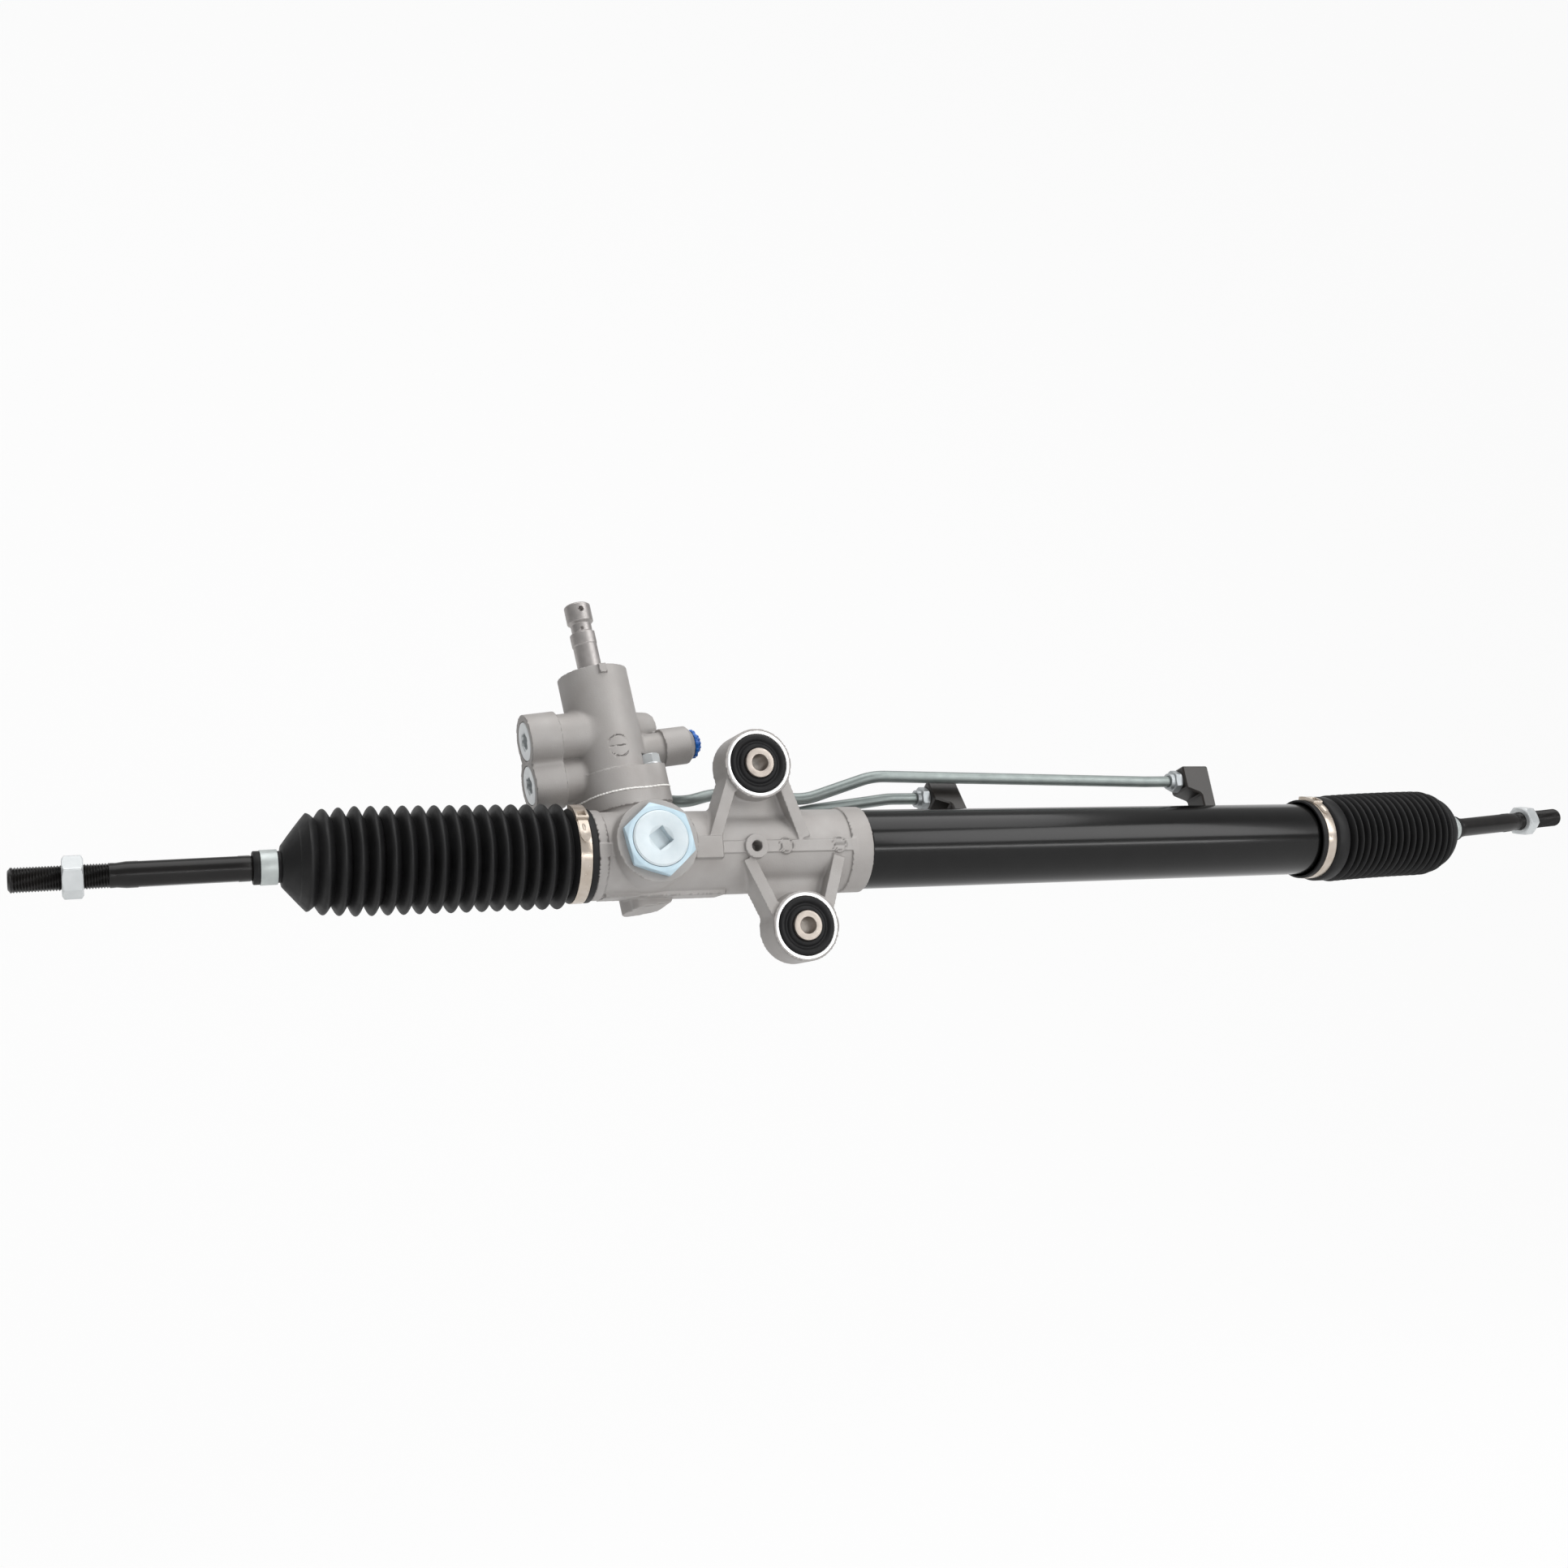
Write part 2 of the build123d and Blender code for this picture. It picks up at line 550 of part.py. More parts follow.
def adjuster_locknut():
    frame = ADJUSTER * Rot(0, 0, LOCKNUT_TURN)
    nut = hexagon(frame, LOCKNUT_BACK, LOCKNUT_BACK + LOCKNUT_THICKNESS, LOCKNUT_ACROSS)
    return nut - bar(frame, LOCKNUT_BACK - 1, PLUG_FACE + 1, PLUG_RADIUS)


# Rack bar and mesh


def rack_gap_outline():
    """The space between two rack teeth, across the pinion's axis and with its mouth towards the pinion."""
    pitch_radius = GEAR_MODULE * PINION_TEETH / 2
    middle = -(pitch_radius + PROFILE_SHIFT * GEAR_MODULE)
    root, mouth = middle - 1.25 * GEAR_MODULE, middle + 1.8 * GEAR_MODULE
    half = pi * GEAR_MODULE / 4 + BACKLASH / 4
    slope = tan(radians(PRESSURE_ANGLE))
    low, high = half + (root - middle) * slope, half + (mouth - middle) * slope
    return make_face(Polyline((-low, root), (low, root), (high, mouth), (-high, mouth), close=True))


def rack_bar():
    left, right = LEFT_BALL_X + SOCKET_BACK, RIGHT_BALL_X - SOCKET_BACK
    solid = bar(RACK_AXIS, left, right, RACK_RADIUS)
    solid = chamfer(solid.edges(), EDGE_BREAK)
    step = pi * GEAR_MODULE / cos(radians(PINION_LEAN))
    tips = CENTRE_DISTANCE - (GEAR_MODULE * PINION_TEETH / 2 + (PROFILE_SHIFT - 1) * GEAR_MODULE)
    start, end = RACK_TOOTH_FIRST * step, RACK_TOOTH_LAST * step
    flat = Box(end - start, RACK_RADIUS, 2 * RACK_RADIUS, align=(Align.MIN, Align.MIN, Align.CENTER))
    solid -= MECHANISM * Pos(start, tips, 0) * flat
    gap = Pos(0, 0, -RACK_RADIUS * 1.5) * extrude(rack_gap_outline(), RACK_RADIUS * 3)
    gaps = [Pos(n * step, 0, 0) * PINION * gap for n in range(RACK_TOOTH_FIRST + 1, RACK_TOOTH_LAST)]
    solid -= gaps
    solid -= bar(RACK_AXIS, left - 1, left + SOCKET_STUD_LENGTH, SOCKET_STUD_RADIUS)
    solid -= bar(RACK_AXIS, right - SOCKET_STUD_LENGTH, right + 1, SOCKET_STUD_RADIUS)
    groove = ring(RACK_AXIS, PISTON_X - PISTON_WIDTH / 2, PISTON_X + PISTON_WIDTH / 2, RACK_RADIUS + 1, RACK_RADIUS - 1)
    return solid - groove


def involute(angle):
    return tan(angle) - angle


def pinion_outline():
    """Outline of the pinion's teeth, with one tooth pointing at the rack."""
    pitch_radius = GEAR_MODULE * PINION_TEETH / 2
    pressure = radians(PRESSURE_ANGLE)
    base = pitch_radius * cos(pressure)
    root = pitch_radius - (1.25 - PROFILE_SHIFT) * GEAR_MODULE
    thickness = GEAR_MODULE * (pi / 2 + 2 * PROFILE_SHIFT * tan(pressure)) - BACKLASH / 2
    half_angle = thickness / (2 * pitch_radius) + involute(pressure)
    steps = 5
    radii = [base + (PINION_TIP_RADIUS - base) * (n / steps) for n in range(steps + 1)]
    flank = [(r, half_angle - involute(acos(base / r))) for r in radii]
    tooth = [(root, -half_angle)] + [(r, -a) for r, a in flank]
    tooth += [(r, a) for r, a in reversed(flank)] + [(root, half_angle)]
    points = []
    for n in range(PINION_TEETH):
        middle = -pi / 2 + 2 * pi * n / PINION_TEETH
        points += [(r * cos(middle + a), r * sin(middle + a)) for r, a in tooth]
    return make_face(Polyline(*points, close=True))


def pinion_shaft():
    half = PINION_FACE / 2
    bearing_top = UPPER_BEARING_START + UPPER_BEARING_LENGTH
    shaft = PINION * Pos(0, 0, -half) * extrude(pinion_outline(), PINION_FACE)
    shaft += bar(PINION, LOWER_BEARING_START - LOWER_JOURNAL_ROOM / 2, -half, LOWER_JOURNAL_RADIUS - RUNNING_GAP)
    shaft += bar(PINION, half, UPPER_BEARING_START, PINION_TIP_RADIUS)
    shaft += bar(PINION, UPPER_BEARING_START, bearing_top, UPPER_JOURNAL_RADIUS - RUNNING_GAP)
    shaft += bar(PINION, bearing_top, VALVE_SLEEVE_START, PINION_TIP_RADIUS)
    shaft += bar(PINION, VALVE_SLEEVE_START, SPOOL_START - 1, VALVE_SLEEVE_BORE)
    return shaft - bar(PINION, SPOOL_START - 1 - 3 * TORSION_BAR_FIXED, SPOOL_START, TORSION_BAR_RADIUS)


def torsion_bar():
    start, end = SPOOL_START - 1 - 3 * TORSION_BAR_FIXED, INPUT_SHAFT_END - INPUT_HEAD_LENGTH / 2
    waist = TORSION_BAR_RADIUS * 0.8
    fixed = TORSION_BAR_FIXED
    profile = [
        (start, 0), (start, TORSION_BAR_RADIUS), (start + fixed, TORSION_BAR_RADIUS), (start + fixed + 2, waist),
        (end - fixed - 2, waist), (end - fixed, TORSION_BAR_RADIUS - TORSION_BAR_GAP), (end, TORSION_BAR_RADIUS - TORSION_BAR_GAP), (end, 0),
    ]
    return turned_on(PINION, profile)


def sleeve_ring_starts():
    land = (VALVE_SLEEVE_END - VALVE_SLEEVE_START) / SLEEVE_RING_COUNT
    return [VALVE_SLEEVE_START + land * (n + 0.5) - SLEEVE_RING_WIDTH / 2 for n in range(SLEEVE_RING_COUNT)]


def valve_sleeve():
    """Sleeve that turns with the pinion: four seal ring grooves, and an oil groove between each two."""
    sleeve = ring(PINION, VALVE_SLEEVE_START, VALVE_SLEEVE_END, VALVE_SLEEVE_RADIUS, VALVE_SLEEVE_BORE)
    floor = VALVE_SLEEVE_RADIUS - SLEEVE_RING_DEPTH
    starts = sleeve_ring_starts()
    for start in starts:
        sleeve -= ring(PINION, start, start + SLEEVE_RING_WIDTH, VALVE_SLEEVE_RADIUS + 1, floor)
    for start, after in zip(starts, starts[1:]):
        middle = (start + after + SLEEVE_RING_WIDTH) / 2
        sleeve -= ring(PINION, middle - 2, middle + 2, VALVE_SLEEVE_RADIUS + 1, floor)
    return sleeve


def sleeve_rings():
    outer, inner = VALVE_BORE_RADIUS - RUNNING_GAP, VALVE_SLEEVE_RADIUS - SLEEVE_RING_DEPTH
    return Compound([ring(PINION, start, start + SLEEVE_RING_WIDTH, outer, inner) for start in sleeve_ring_starts()])


def input_shaft():
    """Spool and input shaft in one: control grooves below, a clamp groove and a flat for the joint above."""
    head = INPUT_SHAFT_END - INPUT_HEAD_LENGTH
    groove = head - CLAMP_GROOVE_LENGTH
    collar = groove - CLAMP_COLLAR_LENGTH
    shaft = turned_on(PINION, [
        (SPOOL_START, 0), (SPOOL_START, SPOOL_RADIUS), (VALVE_SLEEVE_END, SPOOL_RADIUS),
        (VALVE_SLEEVE_END, INPUT_SHAFT_RADIUS), (collar, INPUT_SHAFT_RADIUS), (collar + 1, INPUT_HEAD_RADIUS),
        (groove, INPUT_HEAD_RADIUS), (groove + 1, CLAMP_GROOVE_RADIUS), (head - 1, CLAMP_GROOVE_RADIUS),
        (head, INPUT_HEAD_RADIUS), (INPUT_SHAFT_END - EDGE_BREAK, INPUT_HEAD_RADIUS),
        (INPUT_SHAFT_END, INPUT_HEAD_RADIUS - EDGE_BREAK), (INPUT_SHAFT_END, 0),
    ])
    slot_length = VALVE_SLEEVE_END - SPOOL_START - 2 * SPOOL_GROOVE_MARGIN
    slot = Box(SPOOL_GROOVE_WIDTH, 2 * SPOOL_RADIUS, slot_length, align=MIN_END)
    for n in range(SPOOL_GROOVES):
        turn = Rot(0, 0, n * 360 / SPOOL_GROOVES)
        shaft -= PINION * turn * Pos(0, 2 * SPOOL_RADIUS - SPOOL_GROOVE_DEPTH, SPOOL_START + SPOOL_GROOVE_MARGIN) * slot
    flat = Box(INPUT_HEAD_RADIUS, 2 * INPUT_HEAD_RADIUS, groove + 1 - VALVE_HOUSING_TOP, align=(Align.MIN, Align.CENTER, Align.MIN))
    shaft -= PINION * Pos(INPUT_FLAT_OFFSET, 0, VALVE_HOUSING_TOP) * flat
    pin_hole = Rot(90, 0, 0) * Cylinder(TORSION_PIN_RADIUS, 2 * INPUT_HEAD_RADIUS + 2)
    shaft -= PINION * Pos(0, 0, INPUT_SHAFT_END - INPUT_HEAD_LENGTH * 0.35) * pin_hole
    bar_end = INPUT_SHAFT_END - INPUT_HEAD_LENGTH / 2
    return shaft - bar(PINION, SPOOL_START - 1, bar_end, TORSION_BAR_RADIUS)


def ball_bearing_ring(frame, start, length, outer, bore):
    """A sealed bearing drawn as its two races with the closed cage between them."""
    body = ring(frame, start, start + length, outer, bore)
    for end in (start - 1, start + length - 0.8):
        body -= ring(frame, end, end + 1.8, outer - BEARING_RACE_WALL, bore + BEARING_RACE_WALL)
    return body


# Valve housing


def plug_frames():
    """Frames on the plugs' axes, whose z points out of the housing to the left."""
    spots = ((UPPER_PLUG_B, UPPER_PLUG_P), (LOWER_PLUG_B, LOWER_PLUG_P))
    return [PINION * Pos(0, b, p) * Rot(0, -90, 0) for b, p in spots]


def pressure_port_frame():
    return PINION * Pos(0, 0, PRESSURE_PORT_P) * Rot(0, 90, 0)


def return_port_frame():
    return PINION * Pos(0, 0, RETURN_PORT_P) * Rot(0, 0, RETURN_PORT_AZIMUTH) * Rot(0, 90, 0)


def line_port_frames():
    """Frames of the lower and the upper cylinder line port, at the rear of the valve housing."""
    spots = ((LOWER_LINE_PORT_A, LOWER_LINE_PORT_P), (UPPER_LINE_PORT_A, UPPER_LINE_PORT_P))
    return [PINION * Pos(a, 0, p) * Rot(-90, 0, 0) for a, p in spots]


def valve_housing():
    body = bar(PINION, FLANGE_JOINT, VALVE_HOUSING_TOP, VALVE_HOUSING_RADIUS)
    body = chamfer(body.edges().sort_by(Axis.Z)[-1], EDGE_BREAK)
    body += PINION * Pos(0, 0, FLANGE_JOINT) * extrude(flange_outline(), UPPER_FLANGE_THICKNESS)
    for frame in plug_frames():
        body += bar(frame, 0, PLUG_BOSS_STEP, PLUG_BOSS_NECK_RADIUS)
        boss = bar(frame, PLUG_BOSS_STEP, PLUG_BOSS_END, PLUG_BOSS_RADIUS)
        body += boss
    port = pressure_port_frame()
    tip = PRESSURE_PORT_END - PRESSURE_PORT_CHAMFER
    body += turned_on(port, [
        (0, 0), (0, PRESSURE_PORT_NECK_RADIUS), (PRESSURE_PORT_STEP - 2, PRESSURE_PORT_NECK_RADIUS),
        (PRESSURE_PORT_STEP, PRESSURE_PORT_RADIUS), (tip, PRESSURE_PORT_RADIUS),
        (PRESSURE_PORT_END, PRESSURE_PORT_RADIUS - PRESSURE_PORT_CHAMFER), (PRESSURE_PORT_END, 0),
    ])
    body += bar(return_port_frame(), 0, RETURN_PORT_END, RETURN_PORT_RADIUS)
    for frame in line_port_frames():
        body += bar(frame, 0, LINE_BOSS_END, LINE_BOSS_RADIUS)
    nub = Box(LOCATING_NUB_WIDTH, 4, 6, align=(Align.CENTER, Align.CENTER, Align.MAX))
    body += PINION * Pos(0, -VALVE_HOUSING_RADIUS, VALVE_HOUSING_TOP) * nub
    body -= bar(PINION, FLANGE_JOINT - 1, VALVE_SLEEVE_END + 1, VALVE_BORE_RADIUS)
    body -= bar(PINION, VALVE_SLEEVE_END, INPUT_SEAL_START, INPUT_BEARING_RADIUS)
    body -= bar(PINION, INPUT_SEAL_START, VALVE_HOUSING_TOP + 1, INPUT_SEAL_RADIUS)
    for frame in plug_frames():
        body -= bar(frame, PLUG_BOSS_END - PORT_PLUG_DEPTH, PLUG_BOSS_END + 1, PORT_PLUG_RADIUS)
    for frame, end in ((port, PRESSURE_PORT_END), (return_port_frame(), RETURN_PORT_END)):
        body -= bar(frame, end - PORT_BORE_DEPTH, end + 1, PORT_BORE_RADIUS)
    for frame in line_port_frames():
        body -= bar(frame, LINE_BOSS_END - LINE_SEAT_DEPTH, LINE_BOSS_END + 1, LINE_RADIUS)
    for bolt in flange_bolt_frames():
        body -= bar(bolt, -1, UPPER_FLANGE_THICKNESS, FLANGE_BOLT_RADIUS)
        head_top = UPPER_FLANGE_THICKNESS + FLANGE_BOLT_WASHER_THICKNESS + FLANGE_BOLT_HEAD_HEIGHT
        body -= bar(bolt, UPPER_FLANGE_THICKNESS, head_top + FLANGE_BOLT_HEAD_ROOM, FLANGE_BOLT_WASHER_RADIUS + RUNNING_GAP)
    return body


def flange_bolts():
    bolts = []
    for frame in flange_bolt_frames():
        top = UPPER_FLANGE_THICKNESS
        bolt = bar(frame, top - FLANGE_BOLT_LENGTH, top, FLANGE_BOLT_RADIUS)
        head = top + FLANGE_BOLT_WASHER_THICKNESS
        bolt += bar(frame, top, head, FLANGE_BOLT_WASHER_RADIUS)
        bolt += hexagon(frame * Rot(0, 0, FLANGE_BOLT_HEAD_TURN), head, head + FLANGE_BOLT_HEAD_HEIGHT, FLANGE_BOLT_HEAD_ACROSS)
        bolts.append(bolt)
    return Compound(bolts)


def port_plugs():
    plugs = []
    for frame in plug_frames():
        plug = bar(frame, PLUG_BOSS_END - PORT_PLUG_DEPTH, PLUG_BOSS_END, PORT_PLUG_RADIUS)
        recess = RegularPolygon(PORT_PLUG_DRIVE_RADIUS, 6)
        plug -= frame * Pos(0, 0, PLUG_BOSS_END - PORT_PLUG_DRIVE_DEPTH) * extrude(recess, PORT_PLUG_DRIVE_DEPTH + 1)
        plugs.append(plug)
    return Compound(plugs)


def port_cap(frame, end):
    """Push-in plastic cap: a plug in the bore, a flange and a serrated finger grip."""
    cap = bar(frame, end - PORT_BORE_DEPTH / 2, end, PORT_BORE_RADIUS)
    cap += bar(frame, end, end + CAP_FLANGE_THICKNESS, CAP_FLANGE_RADIUS)
    grip = Circle(CAP_KNOB_RADIUS)
    for n in range(CAP_TEETH):
        grip -= Rot(0, 0, n * 360 / CAP_TEETH) * Pos(CAP_KNOB_RADIUS, 0) * Circle(0.7)
    return cap + frame * Pos(0, 0, end + CAP_FLANGE_THICKNESS) * extrude(grip, CAP_KNOB_LENGTH)


# Cylinder tube


def block_frame(x, angle, radius):
    """Frame at the middle of a line block: z points away from the tube, x along it."""
    return Pos(x, 0, 0) * Rot(-angle, 0, 0) * Pos(0, 0, radius)


def line_block(x, angle, radius):
    """Block brazed on the tube by the foot at its right end, with a seat for the line in its left face."""
    frame = block_frame(x, angle, radius)
    half, foot = BLOCK_LENGTH / 2, BLOCK_LENGTH / 2 - BLOCK_FOOT_LENGTH
    inside = TUBE_BORE_RADIUS - radius
    outline = [
        (-half, BLOCK_TOP), (half, BLOCK_TOP), (half, inside), (foot, inside),
        (foot, -BLOCK_DROP), (-half, -BLOCK_LEFT_DROP),
    ]
    block = Pos(0, -BLOCK_DEPTH / 2, 0) * slab(outline, 0, BLOCK_DEPTH)
    block = frame * chamfer(block.edges(), EDGE_BREAK)
    block -= bar(RACK_AXIS, x - BLOCK_LENGTH, x + BLOCK_LENGTH, TUBE_RADIUS)
    seat = frame * Rot(0, -90, 0)
    return block - bar(seat, BLOCK_LENGTH / 2 - LINE_SEAT_DEPTH, BLOCK_LENGTH / 2 + 1, LINE_RADIUS)


def cylinder_tube():
    tube = turned([
        (-TUBE_NECK_LENGTH, TUBE_NECK_BORE), (-TUBE_NECK_LENGTH, TUBE_NECK_RADIUS), (0, TUBE_NECK_RADIUS),
        (0, TUBE_RADIUS - EDGE_BREAK), (EDGE_BREAK, TUBE_RADIUS), (TUBE_STEP_X - EDGE_BREAK, TUBE_RADIUS),
        (TUBE_STEP_X, TUBE_END_RADIUS), (TUBE_END_X, TUBE_END_RADIUS), (TUBE_END_X, TUBE_BORE_RADIUS),
        (CYLINDER_START_X, TUBE_BORE_RADIUS), (CYLINDER_START_X, TUBE_NECK_BORE),
    ])
    tube -= bar(RACK_AXIS, BULKHEAD_FACE_X, BULKHEAD_FACE_X + RETAINING_RING_WIDTH, RETAINING_RING_OUTER)
    return tube


def bulkhead():
    """Ring that closes the right end of the cylinder, grooved outside for an O-ring."""
    start = BULKHEAD_FACE_X - BULKHEAD_LENGTH
    body = ring(RACK_AXIS, start, BULKHEAD_FACE_X, TUBE_BORE_RADIUS, RACK_RADIUS + BULKHEAD_CLEARANCE)
    body -= bar(RACK_AXIS, start - 1, start + BULKHEAD_SEAL_WIDTH, BULKHEAD_SEAL_RADIUS)
    middle = BULKHEAD_FACE_X - BULKHEAD_LENGTH / 2
    groove = TUBE_BORE_RADIUS - BULKHEAD_GROOVE_DEPTH
    return body - ring(RACK_AXIS, middle, middle + BULKHEAD_GROOVE_WIDTH, TUBE_BORE_RADIUS + 1, groove)


def bulkhead_o_ring():
    middle = BULKHEAD_FACE_X - BULKHEAD_LENGTH / 2
    groove = TUBE_BORE_RADIUS - BULKHEAD_GROOVE_DEPTH
    return ring(RACK_AXIS, middle, middle + BULKHEAD_GROOVE_WIDTH, TUBE_BORE_RADIUS, groove)


def retaining_ring():
    """Open spring ring in its groove, with the gap at the bottom."""
    end = BULKHEAD_FACE_X + RETAINING_RING_WIDTH
    shape = ring(RACK_AXIS, BULKHEAD_FACE_X, end, RETAINING_RING_OUTER, RETAINING_RING_INNER)
    gap_align = (Align.CENTER, Align.CENTER, Align.MAX)
    gap = Box(4 * RETAINING_RING_WIDTH, RETAINING_RING_GAP, RETAINING_RING_OUTER + 1, align=gap_align)
    return shape - Pos(BULKHEAD_FACE_X, 0, 0) * gap


def piston():
    x0, x1 = PISTON_X - PISTON_WIDTH / 2, PISTON_X + PISTON_WIDTH / 2
    body = ring(RACK_AXIS, x0, x1, TUBE_BORE_RADIUS - PISTON_CLEARANCE, RACK_RADIUS - 1)
    ring_x = PISTON_X - PISTON_RING_WIDTH / 2
    return body - ring(RACK_AXIS, ring_x, ring_x + PISTON_RING_WIDTH, TUBE_BORE_RADIUS + 1, TUBE_BORE_RADIUS - PISTON_RING_DEPTH)


def piston_ring():
    x0 = PISTON_X - PISTON_RING_WIDTH / 2
    return ring(RACK_AXIS, x0, x0 + PISTON_RING_WIDTH, TUBE_BORE_RADIUS - RUNNING_GAP, TUBE_BORE_RADIUS - PISTON_RING_DEPTH)


# Pressure lines


def line_route(block, port, between):
    """A line's corners, from its block on the tube through the points between and into its port."""
    face = block_frame(*block) * Pos(-BLOCK_LENGTH / 2, 0, 0)
    mouth = port * Pos(0, 0, LINE_BOSS_END)
    start = (face * Pos(LINE_SEAT_DEPTH, 0, 0)).position
    lead = (face * Pos(-LINE_TURN_REACH, 0, 0)).position
    turn = (mouth * Pos(0, 0, LINE_TURN_REACH)).position
    end = (mouth * Pos(0, 0, -LINE_SEAT_DEPTH)).position
    return [start, lead] + [Vector(*p) for p in between] + [turn, end]


def bend_radii(points):
    """Bend radius at each corner: the wide one, or what the shorter of its two runs leaves room for."""
    radii = []
    for before, here, after in zip(points, points[1:], points[2:]):
        run = min((here - before).length, (after - here).length)
        turn = radians((here - before).get_angle(after - here))
        radii.append(min(0.45 * run / tan(turn / 2), LINE_WIDE_BEND))
    return radii


def pressure_line(points):
    """A steel line bent through its points with tangent arcs."""
    path = FilletPolyline(*points, radius=bend_radii(points))
    return sweep(Plane(path @ 0, z_dir=path % 0) * Circle(LINE_RADIUS), path=path)


LONG_BLOCK = (LONG_BLOCK_X, LONG_BLOCK_ANGLE, LONG_BLOCK_RADIUS)
SHORT_BLOCK = (SHORT_BLOCK_X, SHORT_BLOCK_ANGLE, SHORT_BLOCK_RADIUS)
LONG_BETWEEN = ((22, 12, 50.5), (-22, 27, 37.5), (-78, 42, 45), (-108, 38, 37), (-128, 66, 52))
SHORT_BETWEEN = ((-16, 30, 31), (-70, 40, 22), (-130, 76, 22))


def long_line_points():
    return line_route(LONG_BLOCK, line_port_frames()[1], LONG_BETWEEN)


def short_line_points():
    return line_route(SHORT_BLOCK, line_port_frames()[0], SHORT_BETWEEN)


def flare_nuts():
    """Hexagon nuts that hold the lines in their blocks and ports."""
    seats = [block_frame(*block) * Rot(0, -90, 0) * Pos(0, 0, BLOCK_LENGTH / 2) for block in (SHORT_BLOCK, LONG_BLOCK)]
    seats += [frame * Pos(0, 0, LINE_BOSS_END) for frame in line_port_frames()]
    nuts = []
    for seat in seats:
        nut = hexagon(seat, 0, FLARE_NUT_LENGTH - FLARE_NUT_SHOULDER, FLARE_NUT_ACROSS)
        nut += bar(seat, 0, FLARE_NUT_LENGTH, FLARE_NUT_ACROSS / 2 - 1)
        nuts.append(nut - bar(seat, -1, FLARE_NUT_LENGTH + 1, LINE_RADIUS))
    return Compound(nuts)


# Ball joints and tie rods


def side_frame(left):
    """Frame at a ball's centre whose z points outwards along the rack."""
    return Pos(LEFT_BALL_X, 0, 0) * Rot(0, -90, 0) if left else Pos(RIGHT_BALL_X, 0, 0) * Rot(0, 90, 0)


def rod_frame(left):
    """Frame at a ball's centre whose z runs out along the tie rod."""
    lift, swing = (LEFT_LIFT, LEFT_SWING) if left else (RIGHT_LIFT, RIGHT_SWING)
    side = -1 if left else 1
    along = Vector(side * cos(radians(lift)) * cos(radians(swing)), cos(radians(lift)) * sin(radians(swing)), sin(radians(lift)))
    centre = (LEFT_BALL_X if left else RIGHT_BALL_X, 0, 0)
    return Plane(centre, (0, 1, 0), along).location


def ball_socket(left):
    """Socket screwed into the rack's end, rolled over the ball seat, with two flats for a spanner."""
    frame = side_frame(left)
    cavity = BALL_RADIUS + BALL_SEAT_WALL + 2 * BALL_GAP
    socket = turned_on(frame, [
        (LOCK_WASHER_THICKNESS - SOCKET_BACK, 0), (LOCK_WASHER_THICKNESS - SOCKET_BACK, SOCKET_RADIUS - 1.5),
        (LOCK_WASHER_THICKNESS - SOCKET_BACK + 1.5, SOCKET_RADIUS), (SOCKET_LIP - 5, SOCKET_RADIUS),
        (SOCKET_LIP, cavity + 1), (SOCKET_LIP, 0),
    ])
    socket += bar(frame, -SOCKET_BACK - SOCKET_STUD_LENGTH + 1, -SOCKET_BACK + 2, SOCKET_STUD_RADIUS)
    socket -= frame * Sphere(cavity)
    mouth = sqrt(cavity ** 2 - (BALL_SEAT_MOUTH + 1) ** 2)
    socket -= turned_on(frame, [(0, 0), (0, mouth), (BALL_SEAT_MOUTH + 1, mouth), (SOCKET_LIP + 0.1, cavity), (SOCKET_LIP + 0.1, 0)])
    flat_start = LOCK_WASHER_THICKNESS - SOCKET_BACK
    for sign in (1, -1):
        spot = Pos(0, sign * SOCKET_FLAT_ACROSS / 2, flat_start)
        cut = Box(2 * SOCKET_RADIUS, 10, 2 * SOCKET_FLAT_LENGTH, align=(Align.CENTER, Align.MIN if sign > 0 else Align.MAX, Align.CENTER))
        socket -= frame * spot * cut
    return socket


def lock_washer(left):
    return ring(side_frame(left), -SOCKET_BACK, -SOCKET_BACK + LOCK_WASHER_THICKNESS, SOCKET_RADIUS - 2.5, SOCKET_STUD_RADIUS)


def ball_seat(left):
    """Plastic cup round the ball, open towards the tie rod."""
    inner = BALL_RADIUS + BALL_GAP
    seat = Sphere(inner + BALL_SEAT_WALL) - Sphere(inner)
    seat -= Pos(0, 0, BALL_SEAT_MOUTH) * Cylinder(2 * SOCKET_RADIUS, SOCKET_RADIUS, align=MIN_END)
    return side_frame(left) * seat


def jam_nut_span(left):
    """Start and end of the jam nut along its tie rod, which leaves the free thread beyond it."""
    end = TIE_ROD_LENGTH - (LEFT_FREE_THREAD if left else RIGHT_FREE_THREAD)
    return end - JAM_NUT_THICKNESS, end


